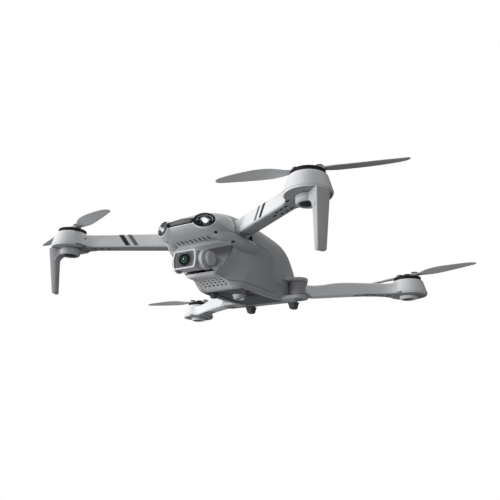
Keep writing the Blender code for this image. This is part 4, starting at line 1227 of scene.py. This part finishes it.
def dress_carried_nodes():
    """CAD nodes that stay visible get the finished materials too."""
    pins = {f"{end}_arm_pin_{name}": "metal" for end in ("front", "rear") for name, _ in SIDES}
    for node, look in {"main_circuit_board": "board", "gps_module": "face_grey", **pins}.items():
        obj = frame["nodes"][node]
        obj.data.materials.clear()
        obj.data.materials.append(LOOK[look])


# Stage ----------------------------------------------------------------------

def build_stage():
    floor = draft("floor", upright([(3000 * cos(a), 3000 * sin(a)) for a in circle(96)], -262.0, -250.0))
    nodes = Nodes("floor_paper")
    paper = nodes.mix(nodes.noise(3.0), (0.80, 0.80, 0.805), (0.84, 0.84, 0.845))
    nodes.feed(nodes.shader, Base_Color=paper, Roughness=0.9, Emission_Color=(1.0, 1.0, 1.0),
               Emission_Strength=0.45)
    floor.data.materials.append(nodes.material)
    for ray in ("diffuse", "glossy", "shadow"):
        setattr(floor, f"visible_{ray}", False)
    backdrop = draft("backdrop", spun([(0.0, -245.0), (2900.0, -245.0), (2900.0, 2500.0), (0.0, 2500.0)],
                                      segments=96))
    white = bpy.data.materials.new("backdrop_white")
    white.use_nodes = True
    tree = white.node_tree
    tree.nodes.clear()
    glow, out = tree.nodes.new("ShaderNodeEmission"), tree.nodes.new("ShaderNodeOutputMaterial")
    glow.inputs["Strength"].default_value = 1.0
    tree.links.new(glow.outputs[0], out.inputs["Surface"])
    backdrop.data.materials.append(white)
    for ray in ("diffuse", "glossy", "transmission", "shadow", "volume_scatter"):
        setattr(backdrop, f"visible_{ray}", False)


def area_light(name, location, size, energy, glossy=True):
    data = bpy.data.lights.new(name, "AREA")
    data.shape = "DISK"
    data.size = size
    data.energy = energy
    lamp = bpy.data.objects.new(name, data)
    lamp.location = location
    lamp.rotation_mode = "QUATERNION"
    lamp.rotation_quaternion = (Vector((0.0, 0.0, 0.03)) - Vector(location)).to_track_quat("-Z", "Y")
    lamp.visible_glossy = glossy
    link(lamp)


def build_lights():
    area_light("key", (-1.05, -0.85, 0.42), 0.7, 12.0, glossy=False)
    area_light("sparkle", (-0.8, -1.1, 0.5), 0.14, 1.0)
    area_light("top", (-0.2, 0.1, 1.3), 1.2, 9.0)
    area_light("front_fill", (0.75, -1.25, 0.15), 0.9, 4.3, glossy=False)
    area_light("low_front", (-1.1, -0.85, -0.5), 0.6, 12.0, glossy=False)
    world = bpy.data.worlds.new("studio")
    world.use_nodes = True
    background = world.node_tree.nodes["Background"]
    background.inputs["Color"].default_value = (*GLOW, 1.0)
    background.inputs["Strength"].default_value = 0.16
    bpy.context.scene.world = world
    bpy.context.scene.view_settings.view_transform = "Standard"


def build_camera_view():
    azimuth, elevation, roll = radians(33.233), radians(-17.521), radians(1.114)
    back = Vector((sin(azimuth) * cos(elevation), -cos(azimuth) * cos(elevation), sin(elevation)))
    right = Vector((0.0, 0.0, 1.0)).cross(back).normalized()
    up = back.cross(right)
    turned = right * cos(roll) + up * sin(roll)
    upward = up * cos(roll) - right * sin(roll)
    matrix = Matrix((turned, upward, back)).transposed().to_4x4()
    matrix.translation = (0.2405, -0.3537, -0.0922)
    data = bpy.data.cameras.new("view")
    data.sensor_width = 36.0
    data.lens = 39.02
    data.clip_start = 0.01
    camera = bpy.data.objects.new("view", data)
    camera.matrix_world = matrix
    bpy.context.scene.camera = link(camera)


# Everything -----------------------------------------------------------------

FRONT, REAR = Arm("front"), Arm("rear")
TILT = joint_axis_point("camera_tilt")
LOOK = {
    "shell_light": moulded("shell_light", WHITE, 0.40),
    "shell_upper": moulded("shell_upper", UPPER, 0.40),
    "shell_grey": moulded("shell_grey", GREY, 0.42, paint=slot_and_bay_shade),
    "leg": moulded("leg_plastic", (0.50, 0.507, 0.52), 0.42, wear=0.6),
    "chin": moulded("chin_plate", (0.66, 0.668, 0.68), 0.42, paint=chin_hole_shade),
    "camera_shell": moulded("camera_shell", (0.50, 0.507, 0.52), 0.38, wear=1.0, soft=0.0005),
    "cover_grey": moulded("cover_grey", COVER, 0.46),
    "arm_painted": moulded("arm_painted", WHITE, 0.40, paint=stripes),
    "arm_plain": moulded("arm_plain", WHITE, 0.40, paint=barrel_shade),
    "rim": moulded("rim_white", (0.88, 0.885, 0.89), 0.28, wear=0.1),
    "black_gloss": moulded("black_gloss", (0.016, 0.016, 0.018), 0.30, wear=0.15, coat=0.15, depth=0.004),
    # Black plugs that paint shade into the arms' vent holes
    "vent_shade_plug": moulded("vent_shade_plug", (0.012, 0.012, 0.013), 0.7, wear=0.1, grain=1500.0),
    "light_bar": moulded("light_bar", (0.014, 0.014, 0.016), 0.34, wear=0.15, paint=bar_paint, depth=0.004),
    "hub": moulded("hub_black", (0.022, 0.022, 0.024), 0.42, wear=0.3),
    "foot": moulded("foot_rubber", (0.105, 0.107, 0.114), 0.62, grain=1800.0, depth=0.03, wear=0.25),
    "belly": moulded("belly_plate", (0.125, 0.128, 0.135), 0.48, wear=0.5),
    "face_grey": moulded("face_grey", (0.15, 0.153, 0.16), 0.52, wear=0.2),
    "metal": moulded("machined_metal", (0.56, 0.57, 0.58), 0.28, metallic=1.0, streak=0.4, depth=0.006),
    "screw": moulded("screw_steel", (0.10, 0.10, 0.105), 0.36, metallic=1.0, depth=0.004),
    "blade": moulded("blade_nylon", (0.50, 0.51, 0.52), 0.38, grain=3600.0, depth=0.008, wear=0.4),
    "board": moulded("circuit_board", (0.015, 0.14, 0.05), 0.38, paint=board_paint, wear=0.2),
    "lamp": lamp_material("lamp_lens"),
    "lamp_glass": clear_cover("lamp_cover"),
    "lamp_ring": moulded("lamp_ring", (0.10, 0.102, 0.108), 0.22, wear=0.3, coat=0.5),
    "lamp_dim": moulded("charge_light_lens", (0.62, 0.65, 0.66), 0.2, wear=0.1),
    "glass": lens_glass("camera_glass"),
}
HULL_TREE = surface_tree(hull("probe"))

build_hull()
build_light_bar()
build_front_arms()
build_rear_arms()
build_camera()
build_belly()
build_button()
dress_carried_nodes()
build_stage()
build_lights()
build_camera_view()
